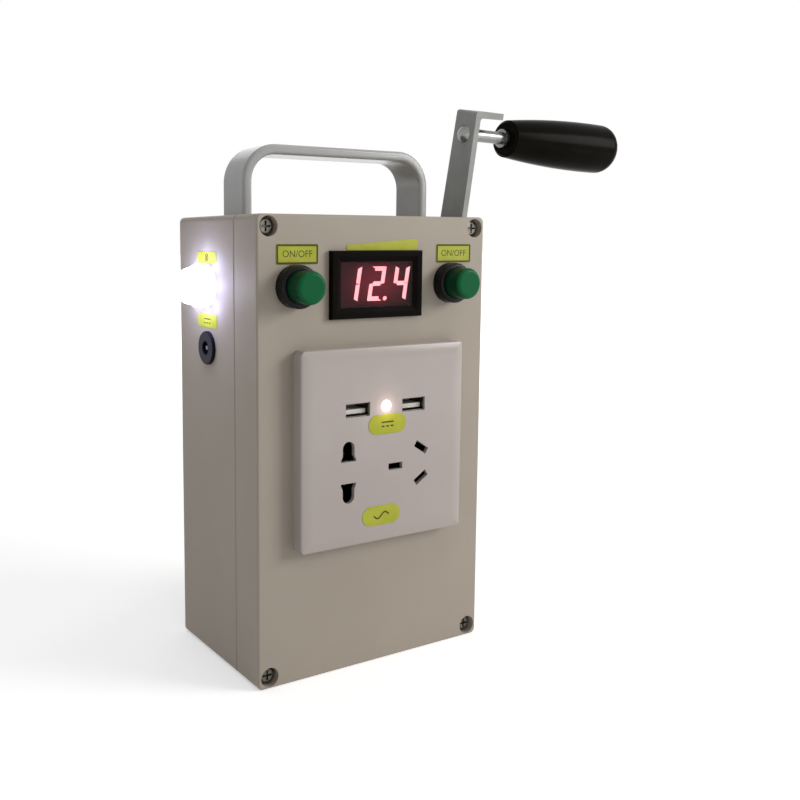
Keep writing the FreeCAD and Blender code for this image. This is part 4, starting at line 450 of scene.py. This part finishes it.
# centre and reach of the glow in millimetres; it fades from fadeFrom to 1 of its reach
displayLook = {"mask": "#3B2A2D", "rough": 0.6, "specular": 0.1, "glow": "#8E3550", "strength": 0.52,
               "reach": (19.0, 11.5), "centre": (-0.9, 170.5), "fadeFrom": 0.25, "cloudScale": 180.0,
               "uneven": 0.35, "unevenShift": -0.17}


def litDisplay(look):
    # dull mask behind the window: the light of the segments spreads on it as an ellipse that fades outwards
    material, tree, shader, out, place = startMaterial(
        "displayMask", {"Base Color": srgb(look["mask"]), "Roughness": look["rough"],
                        "Specular IOR Level": look["specular"]})
    shader.inputs["Emission Color"].default_value = srgb(look["glow"])
    wide, high = (value * mm for value in look["reach"])
    x, z = (value * mm for value in look["centre"])
    spread = add(tree, "ShaderNodeMapping",
                 {"Location": (-x / wide, 0, -z / high), "Scale": (1 / wide, 0, 1 / high)},
                 {"Vector": (place, "Object")})
    away = add(tree, "ShaderNodeVectorMath", {"operation": "LENGTH"}, {0: (spread, "Vector")})
    cloud = add(tree, "ShaderNodeTexNoise", {"Scale": look["cloudScale"], "Detail": 2.0},
                {"Vector": (place, "Object")})
    uneven = add(tree, "ShaderNodeMath",
                 {"operation": "MULTIPLY_ADD", 1: look["uneven"], 2: look["unevenShift"]},
                 {0: (cloud, "Fac")})
    total = add(tree, "ShaderNodeMath", {"operation": "ADD"}, {0: (away, "Value"), 1: (uneven, "Value")})
    level = add(tree, "ShaderNodeMapRange",
                {"interpolation_type": "SMOOTHSTEP", "From Min": look["fadeFrom"], "From Max": 1.0,
                 "To Min": look["strength"], "To Max": 0.0}, {"Value": (total, "Value")})
    tree.links.new(level.outputs["Result"], shader.inputs["Emission Strength"])
    return material


materials["display_dark"] = litDisplay(displayLook)
windowLook = {"tint": "#F4C9CD", "share": 0.86, "rough": 0.10, "base": "#6A5C5E", "specular": 0.2,
              "cloudScale": 120.0}


def tintedWindow(look):
    # red acrylic sheet: lets the segments through, with a polished face
    material, tree, shader, out, place = startMaterial(
        "redAcrylic", {"Base Color": srgb(look["base"]), "Specular IOR Level": look["specular"]})
    cloud = add(tree, "ShaderNodeTexNoise", {"Scale": look["cloudScale"], "Detail": 2.0},
                {"Vector": (place, "Object")})
    rough = add(tree, "ShaderNodeMapRange", {"To Min": look["rough"], "To Max": look["rough"] * 2},
                {"Value": (cloud, "Fac")})
    tree.links.new(rough.outputs["Result"], shader.inputs["Roughness"])
    clear = add(tree, "ShaderNodeBsdfTransparent", {"Color": srgb(look["tint"])})
    mix = add(tree, "ShaderNodeMixShader", {"Fac": look["share"]}, {1: (shader, "BSDF"), 2: (clear, "BSDF")})
    tree.links.new(mix.outputs["Shader"], out.inputs["Surface"])
    return material


materials["meter_red_window"] = tintedWindow(windowLook)

for name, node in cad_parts.items():
    slotName = node.data.materials[0].name
    node.data.materials[0] = materials[slotName]
print("materials on", len(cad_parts), "nodes")


# labels: yellow-green film with a dark olive frame and plain marks

labelLook = {"ink": "#3A3A12", "inkLight": "#4B4A1C", "thickness": 0.2, "edge": 0.06, "relief": 0.02}
frontY, plateY, sideX = -37.5, -44.5, -60.0     # the faces that carry labels
framedLabels = {
    "centres": [(-41.0, 183.6), (42.0, 183.6)], "width": 20.2, "height": 8.4, "radius": 0.8,
    "stroke": 0.85, "inset": 0.1, "word": "ON/OFF", "wordHeight": 4.0,
}
stripLabel = {"centre": (2.2, 187.6), "width": 38.0, "height": 5.0, "radius": 1.2, "leftShare": 0.45}
plateLabels = {"centres": [(0.6, 110.0), (-2.3, 69.7)], "width": 20.0, "height": 8.6, "radius": 4.2,
               "stroke": 0.7}
sideLabels = {"centres": [(8.2, 181.9), (8.2, 153.8)], "width": 19.0, "heights": [5.0, 6.0], "radius": 1.2,
              "stroke": 0.6}
markLook = {"lineReach": 3.2, "rise": 0.9, "dashReach": 0.8, "dashPitch": 2.4, "waveReach": 4.0,
            "waveHeight": 1.3, "wavePoints": 33, "ring": 3.6, "crossReach": 0.9}

# olive ink printed through a screen: dull, a little uneven
ink = surfaceFinish("screenInk", {"dark": labelLook["ink"], "light": labelLook["inkLight"], "cloudMm": 5,
                                  "grainMm": 0.8, "rough": (0.4, 0.5), "bump": 0.05, "bumpMm": 0.03,
                                  "shader": {"Specular IOR Level": 0.2}})[0]
film = materials["label_film"]
thick = labelLook["thickness"]


def sticker(name, size, height, onto, centre, level, leftShare=1.0):
    # a thin plate with round corners; its height falls evenly to leftShare of it at the left end
    rings = plateRings(size["width"], height, size["radius"], thick, labelLook["edge"])
    share = leftShare + (1 - leftShare) * (rings[..., 0] / size["width"] + 0.5)
    rings[..., 1] = rings[..., 1] * share - height / 2 * (1 - share)
    points, faces = closedRings(onto(rings, centre, level))
    return meshPiece(name, points, faces, material=film, smooth=False)


def inkFrame(name, width, height, radius, stroke, onto, centre, level):
    rows, faces = borderRings(width, height, radius, stroke, thick, labelLook["relief"])
    return meshPiece(name, onto(rows, centre, level).reshape(-1, 3), faces, material=ink,
                     smooth=False)


def inkStroke(name, path, stroke, onto, centre, level):
    # a line of ink: at each point of the path a small rectangle stands across its direction
    path = np.asarray(path, float)
    along = np.gradient(path, axis=0)
    along /= np.linalg.norm(along, axis=1, keepdims=True)
    across = np.column_stack([-along[:, 1], along[:, 0]]) * stroke / 2
    low, high = np.full((len(path), 1), thick), np.full((len(path), 1), thick + labelLook["relief"])
    left, right = path + across, path - across
    rings = np.stack([np.hstack([left, low]), np.hstack([left, high]),
                      np.hstack([right, high]), np.hstack([right, low])], 1)
    points, faces = closedRings(onto(rings, centre, level))
    return meshPiece(name, points, faces, material=ink, smooth=False)


def printedWord(name, word, height, onto, centre, level):
    # a word as a thin raised mesh, made from the built-in font and then placed
    curve = bpy.data.curves.new(name, "FONT")
    curve.body = word
    curve.align_x = "CENTER"
    curve.align_y = "CENTER"
    curve.size = height
    curve.extrude = labelLook["relief"] / 2
    temporary = bpy.data.objects.new(name + "Curve", curve)
    scene.collection.objects.link(temporary)
    bpy.context.view_layer.update()
    flat = bpy.data.meshes.new_from_object(temporary.evaluated_get(bpy.context.evaluated_depsgraph_get()))
    points = np.zeros(len(flat.vertices) * 3)
    flat.vertices.foreach_get("co", points)
    points = points.reshape(-1, 3)
    points[:, 2] += thick + labelLook["relief"] / 2
    faces = [list(p.vertices) for p in flat.polygons]
    bpy.data.objects.remove(temporary)
    bpy.data.meshes.remove(flat)
    bpy.data.curves.remove(curve)
    return meshPiece(name, onto(points, centre, level), faces, material=ink, smooth=False)


def directCurrentMark(name, stroke, onto, centre, level):
    # a full line over three dashes
    reach, rise, dash = markLook["lineReach"], markLook["rise"], markLook["dashReach"]
    inkStroke(name + "Line", [(-reach, rise), (0, rise), (reach, rise)], stroke, onto, centre, level)
    for index in range(3):
        middle = (index - 1) * markLook["dashPitch"]
        path = [(middle - dash, -rise), (middle, -rise), (middle + dash, -rise)]
        inkStroke(name + "Dash" + "ABC"[index], path, stroke, onto, centre, level)


def alternatingMark(name, stroke, onto, centre, level):
    # one wave: waveHeight times the sine of a full turn over twice waveReach
    reach = markLook["waveReach"]
    x = np.linspace(-reach, reach, markLook["wavePoints"])
    path = np.column_stack([x, markLook["waveHeight"] * np.sin(x * np.pi / reach)])
    inkStroke(name, path, stroke, onto, centre, level)


def lampMark(name, stroke, onto, centre, level):
    # a ring with a cross in it
    ring, reach = markLook["ring"], markLook["crossReach"]
    inkFrame(name + "Ring", ring, ring, ring / 2, stroke, onto, centre, level)
    inkStroke(name + "CrossA", [(-reach, -reach), (0, 0), (reach, reach)], stroke, onto, centre, level)
    inkStroke(name + "CrossB", [(-reach, reach), (0, 0), (reach, -reach)], stroke, onto, centre, level)


stickers = []
for index, centre in enumerate(framedLabels["centres"]):
    name = "label" + ("Left", "Right")[index]
    inset = 2 * framedLabels["inset"]
    stickers.append(sticker(name, framedLabels, framedLabels["height"], onFront, centre, frontY))
    inkFrame(name + "Frame", framedLabels["width"] - inset, framedLabels["height"] - inset,
             framedLabels["radius"] - inset / 2, framedLabels["stroke"], onFront, centre, frontY)
    printedWord(name + "Word", framedLabels["word"], framedLabels["wordHeight"], onFront, centre, frontY)
stickers.append(sticker("labelStrip", stripLabel, stripLabel["height"], onFront, stripLabel["centre"],
                        frontY, stripLabel["leftShare"]))
for index, (centre, mark) in enumerate(zip(plateLabels["centres"], (directCurrentMark, alternatingMark))):
    name = "labelPlate" + "AB"[index]
    stickers.append(sticker(name, plateLabels, plateLabels["height"], onFront, centre, plateY))
    mark(name + "Mark", plateLabels["stroke"], onFront, centre, plateY)
for index, (centre, mark) in enumerate(zip(sideLabels["centres"], (lampMark, directCurrentMark))):
    name = "labelSide" + "AB"[index]
    stickers.append(sticker(name, sideLabels, sideLabels["heights"][index], onLeft, centre, sideX))
    mark(name + "Mark", sideLabels["stroke"], onLeft, centre, sideX)
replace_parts(stickers[0], "labels")
print("labels", len(stickers))


# digits: lit bars of a seven-bar display with mitred ends, so that they read as joined strokes

digitLook = {"reading": ("bc", "abged", "fgbc"), "width": 7.7, "height": 14.8, "stroke": 1.85, "gap": 0.12,
             "mitre": 0.45, "taper": 0.2, "slant": 9.5, "pitch": 12.9, "relief": 0.25, "shift": (0.55, 0.0),
             "dotGap": 0.6, "dotPoints": 16}


def barOutlines(look):
    # corners of the bars: a is the top one, b the upper right one, g the middle one; the rest are mirrored
    w, h = look["width"] / 2, look["height"] / 2
    s, g, t = look["stroke"], look["gap"], look["taper"]
    cut = look["mitre"] * s
    half = np.array([(w - 2 * g, h), (w - s - g, h - cut), (w - s - g, h - s)])
    side = np.array([(w, h - g), (w, g), (w - s, t + g), (w - s, h - cut - g)])
    end = np.array([(w - s - g, s / 2), (w - s - g, t), (w - 2 * g, 0), (w - s - g, -t), (w - s - g, -s / 2)])
    left, down = np.array([-1, 1]), np.array([1, -1])
    top = np.vstack([half, half[::-1] * left])
    return {"a": top, "d": top * down, "g": np.vstack([end, -end]),
            "b": side, "c": side * down, "f": side * left, "e": -side}


def litDigits(look):
    # the reading as one mesh, slanted to the right, at the node's middle plus a shift to where the photo has it
    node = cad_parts["meter_digits"]
    box = np.array([node.matrix_world @ Vector(corner) for corner in node.bound_box]) / mm
    bars = barOutlines(look)
    outlines = [bars[letter] + (place * look["pitch"], 0)
                for place, letters in enumerate(look["reading"]) for letter in letters]
    angle = np.linspace(0, 2 * np.pi, look["dotPoints"], endpoint=False)
    radius = look["stroke"] / 2
    dotCentre = (look["pitch"] + look["width"] / 2 + radius + look["dotGap"], radius - look["height"] / 2)
    outlines.append(radius * np.column_stack([np.cos(angle), np.sin(angle)]) + dotCentre)
    slope = math.tan(math.radians(look["slant"]))
    outlines = [outline + outline[:, 1:] * (slope, 0) for outline in outlines]
    flat = np.vstack(outlines)
    centre = (box.min(0) + box.max(0))[[0, 2]] / 2 - (flat.min(0) + flat.max(0)) / 2 + look["shift"]
    points, faces, start = [], [], 0
    for outline in outlines:
        rings = np.stack([np.column_stack([outline, np.full(len(outline), rise)])
                          for rise in (0, look["relief"])])
        corners, quads = closedRings(onFront(rings, centre, box[:, 1].max()))
        points.append(corners)
        faces += [[start + corner for corner in quad] for quad in quads]
        start += len(corners)
    return meshPiece("digitBars", np.vstack(points), faces, material=materials["digit_red"],
                     smooth=False)


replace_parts(litDigits(digitLook), "meter_digits")
print("digits")


# floor, light and camera

# the floor lies floorDrop metres down, so that it shares no plane with the base
stageLook = {"floorSize": 30.0, "floorDrop": 2e-5, "floorColour": "#F2F2F2", "nearLift": 0.42,
             "farLift": 1.0, "liftFrom": 0.35, "liftTo": 1.1, "worldLevel": 0.40}


def makeFloor(look):
    # a pale sheet that keeps the object's shadow near it and goes to white further out, to the eye only
    half = look["floorSize"] / 2
    mesh = bpy.data.meshes.new("floor")
    corners = [(-half, -half), (half, -half), (half, half), (-half, half)]
    mesh.from_pydata([(x, y, -look["floorDrop"]) for x, y in corners], [], [(0, 1, 2, 3)])
    floor = bpy.data.objects.new("floor", mesh)
    scene.collection.objects.link(floor)
    material, tree, shader, out, place = startMaterial(
        "paperSweep", {"Base Color": srgb(look["floorColour"]), "Roughness": 0.9, "Specular IOR Level": 0.0})
    path = add(tree, "ShaderNodeLightPath")
    seen = add(tree, "ShaderNodeMath", {"operation": "MAXIMUM"},
               {0: (path, "Is Camera Ray"), 1: (path, "Is Glossy Ray")})
    away = add(tree, "ShaderNodeVectorMath", {"operation": "LENGTH"}, {0: (place, "Object")})
    lift = add(tree, "ShaderNodeMapRange", {"interpolation_type": "SMOOTHSTEP",
                                            "From Min": look["liftFrom"], "From Max": look["liftTo"],
                                            "To Min": look["nearLift"], "To Max": look["farLift"]},
               {"Value": (away, "Value")})
    level = add(tree, "ShaderNodeMath", {"operation": "MULTIPLY"}, {0: (seen, "Value"), 1: (lift, "Result")})
    shader.inputs["Emission Color"].default_value = (1, 1, 1, 1)
    tree.links.new(level.outputs["Value"], shader.inputs["Emission Strength"])
    mesh.materials.append(material)


def makeWorld(look):
    # white for what the camera, gloss and glass see, softer as light
    world = bpy.data.worlds.new("studio")
    scene.world = world
    world.use_nodes = True
    tree = world.node_tree
    tree.nodes.clear()
    path = add(tree, "ShaderNodeLightPath")
    seen = add(tree, "ShaderNodeMath", {"operation": "MAXIMUM"},
               {0: (path, "Is Camera Ray"), 1: (path, "Is Glossy Ray")})
    seen = add(tree, "ShaderNodeMath", {"operation": "MAXIMUM"},
               {0: (seen, "Value"), 1: (path, "Is Transmission Ray")})
    level = add(tree, "ShaderNodeMapRange", {"To Min": look["worldLevel"], "To Max": 1.0},
                {"Value": (seen, "Value")})
    background = add(tree, "ShaderNodeBackground", {"Color": (1, 1, 1, 1)}, {"Strength": (level, "Result")})
    add(tree, "ShaderNodeOutputWorld", links={"Surface": (background, "Background")})


def areaLight(look):
    data = bpy.data.lights.new(look["name"], "AREA")
    data.shape = "RECTANGLE"
    data.size, data.size_y = look["size"]
    data.energy = look["watts"]
    data.color = srgb(look["colour"])[:3]
    lamp = bpy.data.objects.new(look["name"], data)
    scene.collection.objects.link(lamp)
    lamp.location = look["place"]
    towards = Vector(look["target"]) - Vector(look["place"])
    lamp.rotation_euler = towards.to_track_quat("-Z", "Y").to_euler()


def ownLight(name, place, radius, watts, colour):
    # the light that a lit lamp of the object throws on its own wall; place and radius are in millimetres
    data = bpy.data.lights.new(name, "POINT")
    data.energy = watts
    data.shadow_soft_size = radius * mm
    data.specular_factor = 0.0
    data.color = srgb(colour)[:3]
    lamp = bpy.data.objects.new(name, data)
    scene.collection.objects.link(lamp)
    lamp.location = Vector(place) * mm
    lamp.visible_camera = False
    lamp.visible_glossy = False


# areas of light, in metres
studioLights = [
    # right of the camera and above it: lights the front and throws the shadow to the left
    {"name": "keyLight", "place": (0.78, -0.66, 0.50), "target": (0, 0, 0.12), "size": (0.45, 0.45),
     "watts": 6.6, "colour": "#FFFDFA"},
    # behind, for the back and the outer edges
    {"name": "backLight", "place": (0.5, 1.35, 0.95), "target": (0, 0, 0.1), "size": (1.2, 1.2),
     "watts": 3.0, "colour": "#FFFFFF"},
    # long and narrow overhead: draws a line of light along the grip
    {"name": "ceilingLight", "place": (0.25, -0.35, 1.7), "target": (0.05, 0, 0.15), "size": (1.3, 0.09),
     "watts": 3.2, "colour": "#FFFFFF"},
]
# small lights round the lamp's lens and one in front of it, in millimetres
glowLook = {"centre": (8.2, 169.5), "count": 8, "ring": 12.6, "rise": 4.5, "radius": 2.0, "watts": 0.0038,
            "farRise": 19.0, "farRadius": 4.0, "farWatts": 0.007, "colour": "#C4C9FF"}
# one small light in front of the indicator, in millimetres
indicatorLook = {"place": (0.0, 117.2), "rise": 3.5, "radius": 1.5, "watts": 0.0012, "colour": "#FFE2DA"}


def lampGlow(look):
    y, z = look["centre"]
    for index in range(look["count"]):
        angle = index * 2 * math.pi / look["count"]
        place = (sideX - look["rise"], y + look["ring"] * math.cos(angle), z + look["ring"] * math.sin(angle))
        ownLight("lampGlow" + str(index), place, look["radius"], look["watts"], look["colour"])
    ownLight("lampFarGlow", (sideX - look["farRise"], y, z), look["farRadius"], look["farWatts"],
             look["colour"])


def indicatorGlow(look):
    x, z = look["place"]
    ownLight("indicatorGlow", (x, plateY - look["rise"], z), look["radius"], look["watts"], look["colour"])


makeFloor(stageLook)
makeWorld(stageLook)
for look in studioLights:
    areaLight(look)
lampGlow(glowLook)
indicatorGlow(indicatorLook)

# place in metres, yaw and pitch in radians, and the lens as the photo's focal length and centre in pixels
cameraLook = {
    "place": (-0.24158, -0.36980, 0.18773),
    "yaw": 0.5410, "pitch": -0.1113,
    "focalPixels": 940.99, "centrePixels": (295.31, 349.27), "imagePixels": 800,
    "sensorMm": 36.0, "clip": (0.01, 100.0),
}


def makeCamera(look):
    # forward from yaw and pitch, right level with the floor, up across both
    yaw, pitch = look["yaw"], look["pitch"]
    forward = Vector((math.sin(yaw) * math.cos(pitch), math.cos(yaw) * math.cos(pitch), math.sin(pitch)))
    right = Vector((math.cos(yaw), -math.sin(yaw), 0.0))
    up = right.cross(forward)
    data = bpy.data.cameras.new("camera")
    camera = bpy.data.objects.new("camera", data)
    scene.collection.objects.link(camera)
    turn = Matrix((right, up, -forward)).transposed().to_4x4()
    camera.matrix_world = Matrix.Translation(look["place"]) @ turn
    size = look["imagePixels"]
    data.sensor_width = look["sensorMm"]
    data.lens = look["focalPixels"] / size * data.sensor_width
    data.shift_x = (size / 2 - look["centrePixels"][0]) / size
    data.shift_y = (look["centrePixels"][1] - size / 2) / size
    data.clip_start, data.clip_end = look["clip"]
    scene.camera = camera


makeCamera(cameraLook)
scene.view_settings.view_transform = "Standard"
print("floor, lights and camera")
